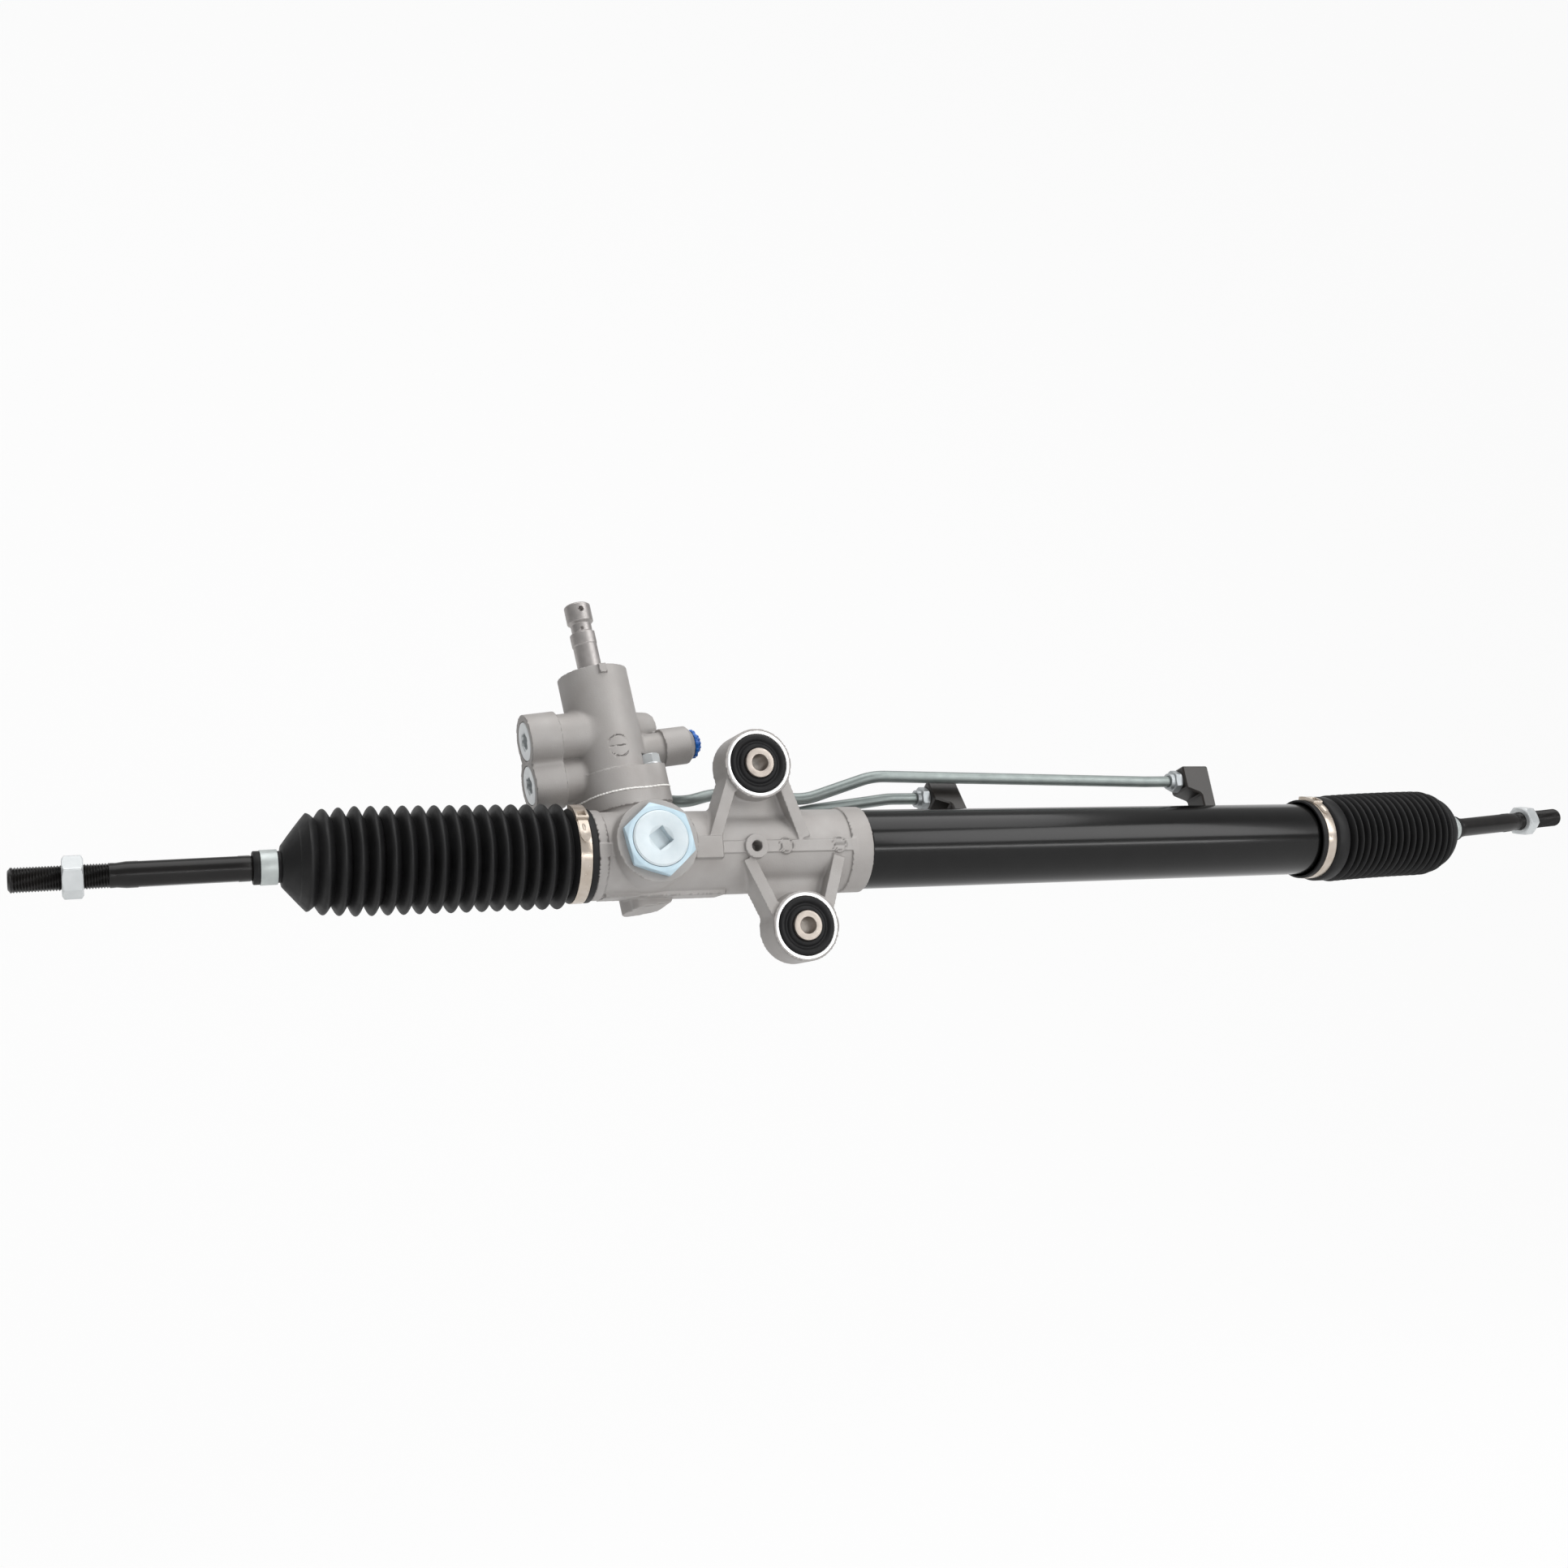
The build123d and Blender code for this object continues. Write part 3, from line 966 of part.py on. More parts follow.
def tie_rod(left):
    """Forged rod with its ball, a groove for the boot, spanner flats and the threaded end."""
    frame = rod_frame(left)
    neck, radius = TIE_ROD_NECK_RADIUS, TIE_ROD_RADIUS
    groove_start = NECK_LIP - NECK_LENGTH - BOOT_GROOVE_MARGIN
    groove_end = NECK_LIP + BOOT_GROOVE_MARGIN
    thread = TIE_ROD_LENGTH - THREAD_LENGTH
    rod = turned_on(frame, [
        (0, 0), (0, neck), (TIE_ROD_NECK_END, neck), (TIE_ROD_NECK_END + TIE_ROD_TAPER, radius),
        (groove_start - 1, radius), (groove_start, BOOT_GROOVE_RADIUS),
        (groove_end - 1, BOOT_GROOVE_RADIUS), (groove_end, radius), (thread - TIE_ROD_TAPER, radius),
        (thread, THREAD_RADIUS), (TIE_ROD_LENGTH - THREAD_CHAMFER, THREAD_RADIUS),
        (TIE_ROD_LENGTH, THREAD_RADIUS - THREAD_CHAMFER), (TIE_ROD_LENGTH, 0),
    ])
    rod += frame * Sphere(BALL_RADIUS)
    flat_start = groove_end + TIE_ROD_FLAT_MARGIN
    length = thread - TIE_ROD_TAPER - TIE_ROD_FLAT_MARGIN - flat_start
    for sign in (1, -1):
        cut = Box(2 * radius, radius, length, align=(Align.CENTER, Align.MIN if sign > 0 else Align.MAX, Align.MIN))
        rod -= frame * Pos(0, sign * TIE_ROD_FLAT_ACROSS / 2, flat_start) * cut
    start, end = jam_nut_span(left)
    return rod - ring(frame, start, end, THREAD_RADIUS + 1, THREAD_ROOT_RADIUS)


def jam_nut(left):
    """Hexagon nut, which fills the rod's thread down to its root."""
    start, end = jam_nut_span(left)
    frame = rod_frame(left) * Rot(0, 0, JAM_NUT_TURN)
    return hexagon(frame, start, end, JAM_NUT_ACROSS) - bar(frame, start - 1, end + 1, THREAD_ROOT_RADIUS)


# Boots and clamps


def ridge_radius(n):
    """The bellows keeps one radius and tapers over its last three ridges."""
    left_over = min(BOOT_RIDGES - 1 - n, END_RIDGES)
    return END_RIDGE_RADIUS + left_over * (RIDGE_RADIUS - END_RIDGE_RADIUS) / END_RIDGES


def ridges(near, far, inset):
    """Crests and the valleys between them, moved in by inset."""
    pitch = (far - near) / (BOOT_RIDGES - 1)
    points = [(near, ridge_radius(0) - inset)]
    for n in range(1, BOOT_RIDGES):
        points.append((near + (n - 0.5) * pitch, VALLEY_RADIUS - inset))
        points.append((near + n * pitch, ridge_radius(n) - inset))
    return points


def cuff(seat, seat_end, lip, band, start, out, collar=None):
    """The cuff's outside with the band's groove and a wide collar if it has one, and its bore: two lists of points."""
    outside = seat + CUFF_WALL
    half = out * BAND_WIDTH / 2
    outer = [
        (lip, outside + CUFF_RIM), (band - half, outside + CUFF_RIM), (band - half, outside),
        (band + half, outside), (band + half, outside + CUFF_RIM),
    ]
    inner = [(lip, seat), (seat_end, seat)]
    if collar:
        edge = out * CUFF_WALL
        outer += [(band + half + edge / 2, collar), (start - edge, collar)]
        inner += [(seat_end + edge, collar - CUFF_WALL), (start - edge, collar - CUFF_WALL)]
    outer.append((start, VALLEY_RADIUS + CUFF_RIM))
    if (start - seat_end) * out > 0:
        inner.append((start, VALLEY_RADIUS - BOOT_WALL))
    return outer, inner


def boot(left):
    """Moulded boot: cuff, bellows, and a nose that narrows to the neck on the tie rod."""
    near, far = (LEFT_RIDGE_NEAR_X, LEFT_RIDGE_FAR_X) if left else (RIGHT_RIDGE_NEAR_X, RIGHT_RIDGE_FAR_X)
    lip, band = (LEFT_LIP_X, LEFT_BAND_X) if left else (RIGHT_LIP_X, RIGHT_BAND_X)
    seat, seat_end = (SEAT_RADIUS, SEAT_END_X) if left else (TUBE_END_RADIUS, TUBE_END_X)
    out = -1 if left else 1
    frame = rod_frame(left)
    start = near - (far - near) / (BOOT_RIDGES - 1) / 2
    outer, inner = cuff(seat, seat_end, lip, band, start, out, None if left else RIGHT_COLLAR_RADIUS)
    bellows = turned(outer + ridges(near, far, 0) + (inner + ridges(near, far, BOOT_WALL))[::-1])
    neck_start = NECK_LIP - NECK_LENGTH
    end_plane = Plane((far, 0, 0), (0, 1, 0), (out, 0, 0))
    neck_plane = Plane((frame * Pos(0, 0, neck_start)).position, (0, 1, 0), (frame * Pos(0, 0, 1)).position - frame.position)
    nose = loft([end_plane * Circle(END_RIDGE_RADIUS), neck_plane * Circle(NECK_RADIUS)], ruled=True)
    nose -= loft([end_plane * Circle(END_RIDGE_RADIUS - BOOT_WALL), neck_plane * Circle(NECK_BORE)], ruled=True)
    neck = turned_on(frame, [
        (neck_start, NECK_BORE), (neck_start, NECK_RADIUS), (NECK_LIP - NECK_LIP_WIDTH, NECK_RADIUS),
        (NECK_LIP - NECK_LIP_WIDTH, NECK_LIP_RADIUS), (NECK_LIP, NECK_LIP_RADIUS), (NECK_LIP, NECK_BORE),
    ])
    return bellows + nose + neck


def boot_clamp(left):
    """Steel band round the cuff, with its crimped ear on top."""
    seat = SEAT_RADIUS if left else TUBE_END_RADIUS
    band = LEFT_BAND_X if left else RIGHT_BAND_X
    inner = seat + CUFF_WALL + CLIP_GAP
    width = BAND_WIDTH - 2 * CLIP_GAP
    clamp = ring(RACK_AXIS, band - width / 2, band + width / 2, inner + BAND_THICKNESS, inner)
    ear = Box(width, 5, BAND_EAR, align=MIN_END)
    return clamp + Pos(band, 0, 0) * Rot(12, 0, 0) * Pos(0, 0, inner + BAND_THICKNESS / 2) * ear


def neck_clip(left):
    """Spring clip round the boot's neck."""
    end = NECK_LIP - NECK_LIP_WIDTH - 0.3
    inner = NECK_RADIUS + CLIP_GAP
    return ring(rod_frame(left), end - CLIP_WIDTH, end, inner + CLIP_THICKNESS, inner)


def pieces():
    """Every sub-part by its node name."""
    upper, lower = (UPPER_BUSH_X, UPPER_BUSH_Z), (LOWER_BUSH_X, LOWER_BUSH_Z)
    found = {
        "rack_housing": rack_housing(),
        "upper_bushing_rubber": bushing_rubber(upper),
        "upper_bushing_sleeve": bushing_sleeve(upper),
        "lower_bushing_rubber": bushing_rubber(lower),
        "lower_bushing_sleeve": bushing_sleeve(lower),
        "rack_guide": rack_guide(),
        "guide_spring": guide_spring(),
        "adjuster_plug": adjuster_plug(),
        "adjuster_locknut": adjuster_locknut(),
        "rack_bar": rack_bar(),
        "piston": piston(),
        "piston_ring": piston_ring(),
        "pinion_shaft": pinion_shaft(),
        "pinion_lower_bearing": ring(
            PINION, LOWER_BEARING_START, LOWER_BEARING_START + LOWER_BEARING_LENGTH, LOWER_BEARING_RADIUS, LOWER_JOURNAL_RADIUS),
        "pinion_upper_bearing": ball_bearing_ring(
            PINION, UPPER_BEARING_START, UPPER_BEARING_LENGTH, UPPER_BEARING_RADIUS, UPPER_JOURNAL_RADIUS),
        "valve_sleeve": valve_sleeve(),
        "valve_sleeve_rings": sleeve_rings(),
        "torsion_bar": torsion_bar(),
        "input_shaft": input_shaft(),
        "input_bearing": ring(
            PINION, INPUT_BEARING_START, INPUT_BEARING_START + INPUT_BEARING_LENGTH, INPUT_BEARING_RADIUS, INPUT_SHAFT_RADIUS + RUNNING_GAP),
        "input_seal": ring(
            PINION, INPUT_SEAL_START, INPUT_SEAL_START + INPUT_SEAL_LENGTH, INPUT_SEAL_RADIUS, INPUT_SHAFT_RADIUS + RUNNING_GAP),
        "valve_housing": valve_housing(),
        "flange_bolts": flange_bolts(),
        "port_plugs": port_plugs(),
        "pressure_port_cap": port_cap(pressure_port_frame(), PRESSURE_PORT_END),
        "return_port_cap": port_cap(return_port_frame(), RETURN_PORT_END),
        "cylinder_tube": cylinder_tube(),
        "short_line_block": line_block(*SHORT_BLOCK),
        "long_line_block": line_block(*LONG_BLOCK),
        "short_pressure_line": pressure_line(short_line_points()),
        "long_pressure_line": pressure_line(long_line_points()),
        "flare_nuts": flare_nuts(),
        "rack_bushing": ring(
            RACK_AXIS, INNER_SEAL_X - BUSHING_WIDTH, INNER_SEAL_X, TUBE_NECK_BORE, RACK_RADIUS + RUNNING_GAP),
        "inner_rack_seal": ring(
            RACK_AXIS, INNER_SEAL_X, INNER_SEAL_X + INNER_SEAL_WIDTH, TUBE_NECK_BORE, RACK_RADIUS + RUNNING_GAP),
        "cylinder_bulkhead": bulkhead(),
        "bulkhead_o_ring": bulkhead_o_ring(),
        "bulkhead_seal": ring(
            RACK_AXIS, BULKHEAD_FACE_X - BULKHEAD_LENGTH, BULKHEAD_FACE_X - BULKHEAD_LENGTH + BULKHEAD_SEAL_WIDTH,
            BULKHEAD_SEAL_RADIUS, RACK_RADIUS + RUNNING_GAP),
        "retaining_ring": retaining_ring(),
    }
    for side, left in (("left", True), ("right", False)):
        found[side + "_ball_socket"] = ball_socket(left)
        found[side + "_lock_washer"] = lock_washer(left)
        found[side + "_ball_seat"] = ball_seat(left)
        found[side + "_tie_rod"] = tie_rod(left)
        found[side + "_jam_nut"] = jam_nut(left)
        found[side + "_neck_clip"] = neck_clip(left)
        found[side + "_boot"] = boot(left)
        found[side + "_boot_clamp"] = boot_clamp(left)
    return found


ORIGIN = Vector(UPPER_BUSH_X, BUSH_FRONT_Y + BUSH_LENGTH / 2, UPPER_BUSH_Z)

os.makedirs("parts", exist_ok=True)
for name, solid in pieces().items():
    export_step(Pos(-ORIGIN.X, -ORIGIN.Y, -ORIGIN.Z) * solid, f"parts/{name}.step")
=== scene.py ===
import bmesh
import bpy
import numpy as np
from mathutils import Matrix


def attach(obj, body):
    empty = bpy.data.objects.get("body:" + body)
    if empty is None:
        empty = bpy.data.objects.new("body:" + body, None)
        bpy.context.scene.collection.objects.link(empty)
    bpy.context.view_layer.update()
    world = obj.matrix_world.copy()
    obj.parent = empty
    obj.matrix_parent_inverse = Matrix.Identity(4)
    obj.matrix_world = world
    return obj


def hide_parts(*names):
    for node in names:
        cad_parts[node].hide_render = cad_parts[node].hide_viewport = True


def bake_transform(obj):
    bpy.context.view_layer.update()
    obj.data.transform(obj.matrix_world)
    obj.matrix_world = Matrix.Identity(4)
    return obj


# A power steering rack: cast aluminium housings, black cylinder tube, bellows boots and tie rods.
# Lengths here are millimetres about the rack's own axis, as in the part: x right, y to the rear, z up.
# A mesh is moved to the row frame, in metres, when it is made.

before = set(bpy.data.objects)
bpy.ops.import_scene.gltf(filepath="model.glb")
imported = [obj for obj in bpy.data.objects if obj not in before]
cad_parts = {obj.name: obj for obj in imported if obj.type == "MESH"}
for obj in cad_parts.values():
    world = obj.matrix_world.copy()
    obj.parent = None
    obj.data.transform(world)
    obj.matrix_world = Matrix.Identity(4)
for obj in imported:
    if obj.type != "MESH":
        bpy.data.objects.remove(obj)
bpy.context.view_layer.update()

ORIGIN = np.array([-76.5, -18.0, 51.6])
X, Y, Z = np.eye(3)


def turn(degrees, axis, vector):
    """Rotates a vector about a unit axis: v cos + (axis x v) sin + axis (axis . v)(1 - cos)."""
    a = np.radians(degrees)
    v = np.asarray(vector, float)
    return v * np.cos(a) + np.cross(axis, v) * np.sin(a) + axis * (axis @ v) * (1 - np.cos(a))


def place(origin, z, x=None):
    """A frame: its origin and a matrix whose columns are x, y and z, with z kept and x made square to it."""
    z = np.asarray(z, float) / np.linalg.norm(z)
    x = np.asarray(X if x is None else x, float)
    x = x - z * (x @ z)
    x = x / np.linalg.norm(x)
    return np.asarray(origin, float), np.stack([x, np.cross(z, x), z], axis=1)


def at(spot, *xyz):
    """A point given in a frame, in the rack's frame."""
    origin, axes = spot
    return origin + axes @ np.array(xyz, float)


# the pinion: its tilt and lean from upright in degrees, its place along the rack and its distance behind it
PINION_TILT, PINION_LEAN, PINION_X, PINION_BEHIND = 6.0, 7.4, -147.0, 17
TILTED_Y = turn(-PINION_TILT, X, Y)
TILTED_Z = turn(-PINION_TILT, X, Z)
PINION_AXIS = -np.sin(np.radians(PINION_LEAN)) * X + np.cos(np.radians(PINION_LEAN)) * TILTED_Z
PINION = place(np.array([PINION_X, 0, 0]) + PINION_BEHIND * TILTED_Y, PINION_AXIS)
PINION_RIGHT, PINION_REAR = PINION[1][:, 0], PINION[1][:, 1]
ADJUSTER = place([PINION_X, 0, 0], -TILTED_Y)
RACK = place([0, 0, 0], X, -Z)
BUSHES = {"upper": (-76.5, 51.6), "lower": (-52.0, -50.5)}
BUSH_FRONT, BUSH_LENGTH = -30.0, 24
BALLS = {"left": -284.0, "right": 431.0}
# how far each tie rod rises on its way out and turns to the rear, in degrees
ROD_ANGLES = {"left": (-1.6, 0.0), "right": (4.3, 7.0)}


def rod_frame(side):
    """A tie rod's frame: z runs outwards from the ball's centre, along the rod."""
    rise, rear = np.radians(ROD_ANGLES[side])
    out = np.sign(BALLS[side])
    along = [out * np.cos(rise) * np.cos(rear), np.cos(rise) * np.sin(rear), np.sin(rise)]
    return place([BALLS[side], 0, 0], along, Y)


RODS = {side: rod_frame(side) for side in BALLS}


# Materials


def linear(code):
    """An sRGB hex colour as linear red, green, blue and alpha."""
    srgb = np.array([int(code[i : i + 2], 16) for i in (1, 3, 5)]) / 255
    rgb = np.where(srgb <= 0.04045, srgb / 12.92, ((srgb + 0.055) / 1.055) ** 2.4)
    return (*rgb, 1.0)


def add(tree, kind, settings=None, **sockets):
    """Adds a node; settings are its properties, and each socket takes a value or another node's output."""
    node = tree.nodes.new(kind)
    for key, value in (settings or {}).items():
        setattr(node, key, value)
    for key, value in sockets.items():
        numbered = key[0] == "_" and key[1:].isdigit()
        socket = node.inputs[int(key[1:])] if numbered else node.inputs[key.replace("_", " ")]
        if isinstance(value, bpy.types.NodeSocket):
            tree.links.new(value, socket)
        else:
            socket.default_value = value
    return node


def mottle(tree, coords, scale, low, high):
    """Noise on the surface, remapped to run between two values."""
    noise = add(tree, "ShaderNodeTexNoise", Vector=coords, Scale=scale, Detail=4.0)
    span = {"From_Min": 0.3, "From_Max": 0.7, "To_Min": low, "To_Max": high}
    return add(tree, "ShaderNodeMapRange", Value=noise.outputs["Fac"], **span).outputs[0]


def finish(name, tones, patches, grain, relief, rough=None, **shader):
    """A material with one plain colour or two in soft patches, and a fine grain, on Object coordinates.

    Patches is the scale of the noise that mixes both tones. Grain is a noise's scale and detail, and relief
    its bump's strength and distance in metres. Rough is a mottled roughness's scale, low and high.
    """
    material = bpy.data.materials.new(name)
    material.use_nodes = True
    tree = material.node_tree
    base = tree.nodes["Principled BSDF"]
    for key, value in shader.items():
        base.inputs[key.replace("_", " ")].default_value = value
    coords = add(tree, "ShaderNodeTexCoord").outputs["Object"]
    if patches:
        share = mottle(tree, coords, patches, 0.0, 1.0)
        first, second = linear(tones[0]), linear(tones[1])
        mixed = add(tree, "ShaderNodeMix", {"data_type": "RGBA"}, _0=share, _6=first, _7=second)
        tree.links.new(mixed.outputs[2], base.inputs["Base Color"])
    else:
        base.inputs["Base Color"].default_value = linear(tones[0])
    if rough:
        tree.links.new(mottle(tree, coords, *rough), base.inputs["Roughness"])
    noise = add(tree, "ShaderNodeTexNoise", Vector=coords, Scale=grain[0], Detail=grain[1])
    bump = add(tree, "ShaderNodeBump", Strength=relief[0], Distance=relief[1], Height=noise.outputs["Fac"])
    tree.links.new(bump.outputs["Normal"], base.inputs["Normal"])
    return material


def zinc(name, tones, rough, metallic=0.6):
    """Zinc plate with a clear passivate: pale, slightly cool, with cloudy tints and a soft shine."""
    grain, relief = (1400.0, 2.0), (0.12, 0.0001)
    return finish(name, tones, 120.0, grain, relief, (260.0, *rough), Metallic=metallic, Roughness=0.34)


def rubber(name, tones, rough):
    """Moulded chloroprene rubber: matt black with a faint grey bloom and a satin sheen on the crests.

    The grain is the mould's spark-eroded texture, about 0.4 mm, drawn at 0.9 mm.
    """
    grain, relief = (1100.0, 2.0), (0.12, 0.0002)
    return finish(name, tones, 45.0, grain, relief, (140.0, *rough), Roughness=0.6, Specular_IOR_Level=0.3)


def steel(name, tones, rough):
    """Ground or turned steel left bare: neutral grey metal with fine marks and light staining."""
    grain, relief = (1500.0, 2.0), (0.15, 0.0001)
    return finish(name, tones, 95.0, grain, relief, (320.0, *rough), Metallic=0.9, Roughness=0.33)


def plastic(name, tones, rough):
    """Injection-moulded plastic: even colour with a soft skin gloss."""
    return finish(name, tones, 70.0, (900.0, 2.0), (0.06, 0.0001), Roughness=rough)


FINISHES = {
    # shot blasted die casting: a soft warm grey, hardly shiny; grain of 0.5 mm, drawn at 0.8 mm to show
    "cast": finish(
        "shot_blasted_cast_aluminium", ("#9d9996", "#a8a5a3"), 38.0, (1250.0, 3.0), (0.3, 0.0003),
        (90.0, 0.52, 0.62), Metallic=0.3, Roughness=0.55,
    ),
    # turned face of the casting: bright, with the cutter's fine marks
    "machined": finish(
        "machined_aluminium", ("#e4e4e4",), None, (900.0, 2.0), (0.1, 0.0001), Metallic=0.9, Roughness=0.3,
    ),
    # black enamel on a drawn tube: deep gloss with dust and orange peel waves of about 3 mm
    "enamel": finish(
        "stoved_black_enamel", ("#070707", "#0d0d0d"), 55.0, (330.0, 1.0), (0.06, 0.0002),
        Roughness=0.2, Specular_IOR_Level=0.25, Coat_Weight=0.12, Coat_Roughness=0.08,
    ),
    # forged steel with a black conversion coat, slightly oily: dark, half glossy, rubbed in places
    "black_steel": finish(
        "black_oxide_steel", ("#100f0f", "#191716"), 60.0, (700.0, 3.0), (0.15, 0.0002),
        Roughness=0.28, Specular_IOR_Level=0.3,
    ),
    "zinc": zinc("bright_zinc_plate", ("#c3c7c8", "#cfd2d3"), (0.3, 0.42)),
    "locknut": zinc("blue_zinc_plate", ("#b3cad6", "#c0d4de"), (0.44, 0.54), 0.2),
    "plug": zinc("pale_blue_zinc_plate", ("#c6d1d6", "#d0d9dd"), (0.44, 0.54), 0.2),
    "nut": zinc("dull_zinc_plate", ("#9fa3a5", "#b0b4b6"), (0.34, 0.46)),
    "band": zinc("stainless_band", ("#b3a799", "#c4bab0"), (0.18, 0.28)),
    "clip": zinc("galvanised_clip", ("#b0b6b5", "#c2c8c6"), (0.4, 0.52)),
    "line": zinc("coated_line_steel", ("#868e8c", "#929a98"), (0.38, 0.46)),
    "block": plastic("satin_black_paint", ("#1b1714", "#241f1b"), 0.36),
    "rubber": rubber("moulded_black_rubber", ("#0b0b0c", "#131314"), (0.48, 0.6)),
    "bush_rubber": rubber("bush_rubber", ("#08080a", "#101012"), (0.5, 0.62)),
    "seal": rubber("seal_rubber", ("#1a1614", "#26201d"), (0.45, 0.6)),
    "steel": steel("ground_steel", ("#a5a39f", "#bcbab5"), (0.26, 0.4)),
    "shaft": steel("turned_shaft_steel", ("#a5a19f", "#b3afad"), (0.4, 0.54)),
    "sleeve": steel("bush_sleeve_steel", ("#a39a92", "#bdb4ab"), (0.36, 0.5)),
    "bronze": steel("sintered_bronze", ("#8f6a3c", "#a98252"), (0.4, 0.55)),
    "blue": plastic("blue_polyethylene", ("#0a4f9e", "#0f62b8"), 0.34),
    "white": plastic("white_acetal", ("#e6e3da", "#f0eee7"), 0.4),
    "sealant": plastic("pale_sealant", ("#e9e7e3", "#f6f5f2"), 0.5),
}

NODE_FINISH = {
    "rack_guide": "cast", "cylinder_bulkhead": "cast", "rack_housing": "cast", "valve_housing": "cast",
    "cylinder_tube": "enamel", "short_line_block": "block", "long_line_block": "block",
    "left_tie_rod": "black_steel", "right_tie_rod": "black_steel",
    "flange_bolts": "zinc", "adjuster_plug": "zinc", "adjuster_locknut": "locknut", "port_plugs": "zinc",
    "flare_nuts": "nut", "left_jam_nut": "zinc", "right_jam_nut": "zinc",
    "left_boot_clamp": "band", "right_boot_clamp": "band",
    "left_neck_clip": "clip", "right_neck_clip": "clip",
    "short_pressure_line": "line", "long_pressure_line": "line",
    "left_boot": "rubber", "right_boot": "rubber",
    "upper_bushing_rubber": "bush_rubber", "lower_bushing_rubber": "bush_rubber",
    "upper_bushing_sleeve": "sleeve", "lower_bushing_sleeve": "sleeve",
    "input_seal": "seal", "inner_rack_seal": "seal", "bulkhead_o_ring": "seal", "bulkhead_seal": "seal",
    "pressure_port_cap": "blue", "return_port_cap": "blue",
    "piston_ring": "white", "valve_sleeve_rings": "white",
    "left_ball_seat": "white", "right_ball_seat": "white",
    "rack_bushing": "bronze", "input_shaft": "shaft",
}
for name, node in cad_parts.items():
    node.data.materials.clear()
    node.data.materials.append(FINISHES[NODE_FINISH.get(name, "steel")])


# Meshes


def in_row(points):
    """Points in the rack's frame and millimetres, given in the row's frame and metres."""
    return (np.asarray(points) - ORIGIN) / 1000


def piece(name, points, faces, look, body, replaces=(), angle=38.0):
    """A closed mesh from rack-frame points: merged at poles, turned outwards, smoothed up to an angle."""
    mesh = bpy.data.meshes.new(name)
    mesh.from_pydata(in_row(points).tolist(), [], np.asarray(faces).tolist())
    work = bmesh.new()
    work.from_mesh(mesh)
    bmesh.ops.remove_doubles(work, verts=work.verts, dist=1e-7)
    bmesh.ops.dissolve_degenerate(work, edges=work.edges, dist=1e-8)
    bmesh.ops.recalc_face_normals(work, faces=work.faces)
    work.to_mesh(mesh)
    work.free()
    mesh.shade_smooth()
    mesh.set_sharp_from_angle(angle=np.radians(angle))
    mesh.materials.append(FINISHES[look])
    made = bpy.data.objects.new(name, mesh)
    bpy.context.scene.collection.objects.link(made)
    if isinstance(body, str):
        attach(made, body)
    else:
        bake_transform(made)
    if replaces:
        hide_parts(*replaces)
    return made


def grid_faces(n, m, closed_n, closed_m):
    """Quads of an n by m grid of points, wrapped round in either direction."""
    i = np.arange(n if closed_n else n - 1)[:, None]
    j = np.arange(m if closed_m else m - 1)[None, :]
    i2, j2 = (i + 1) % n, (j + 1) % m
    return np.stack([i * m + j, i * m + j2, i2 * m + j2, i2 * m + j], axis=-1).reshape(-1, 4)


def eased(points, radius, closed=True, steps=4):
    """A profile with each corner eased: the parabola between the points one radius away on both sides."""
    points = np.asarray(points, float)
    before, after = np.roll(points, 1, 0) - points, np.roll(points, -1, 0) - points
    lengths = np.linalg.norm(before, axis=1), np.linalg.norm(after, axis=1)
    reach = np.minimum(radius, 0.45 * np.minimum(*lengths))
    start = points + before * (reach / np.maximum(lengths[0], 1e-9))[:, None]
    end = points + after * (reach / np.maximum(lengths[1], 1e-9))[:, None]
    t = np.linspace(0, 1, steps)[None, :, None]
    curve = start[:, None] * (1 - t) ** 2 + 2 * points[:, None] * t * (1 - t) + end[:, None] * t**2
    if not closed:
        curve[0], curve[-1] = points[0], points[-1]
    return curve.reshape(-1, 2)


def divided(profile, step):
    """The same closed profile with points added so that no run is longer than the step."""
    out = []
    for a, b in zip(profile, np.roll(profile, -1, 0)):
        count = max(int(np.ceil(np.linalg.norm(b - a) / step)), 1)
        out.append(a + (b - a) * (np.arange(count) / count)[:, None])
    return np.concatenate(out)


def turned(
    name, spot, profile, look, body, replaces=(), around=96, ease=0.35, relief=None, step=None, angle=38.0
):
    """Surface of revolution of a closed (z, r) profile: z axis + r (cos a, sin a); relief may change r."""
    profile = eased(profile, ease) if ease else np.asarray(profile, float)
    if step:
        profile = divided(profile, step)
    z, r = profile[:, 0][:, None], profile[:, 1][:, None]
    a = np.linspace(0, 2 * np.pi, around, endpoint=False)[None, :]
    r = np.broadcast_to(r if relief is None else relief(z, a, r), (len(z), around))
    local = np.stack([r * np.cos(a), r * np.sin(a), z + 0 * r], axis=-1)
    points = spot[0] + local @ spot[1].T
    faces = grid_faces(len(z), around, True, True)
    return piece(name, points.reshape(-1, 3), faces, look, body, replaces, angle)


def hexagonal(across, start=0.0):
    """Relief of a hexagon: r is at most across / 2 / cos of the angle from the nearest flat's middle."""

    def limit(z, a, r):
        off = (a - np.radians(start)) % (np.pi / 3) - np.pi / 6
        return np.minimum(r, across / 2 / np.cos(off))

    return limit


def threaded(first, last, pitch, depth):
    """Relief of a thread: between two stations r falls by a triangle wave of z / pitch - a / turn."""

    def cut(z, a, r):
        wave = np.abs(((z / pitch - a / (2 * np.pi)) % 1) * 2 - 1)
        fade = np.clip((z - first) / pitch, 0, 1) * np.clip((last - z) / pitch, 0, 1)
        return r - depth * wave * fade * (r > 5)

    return cut


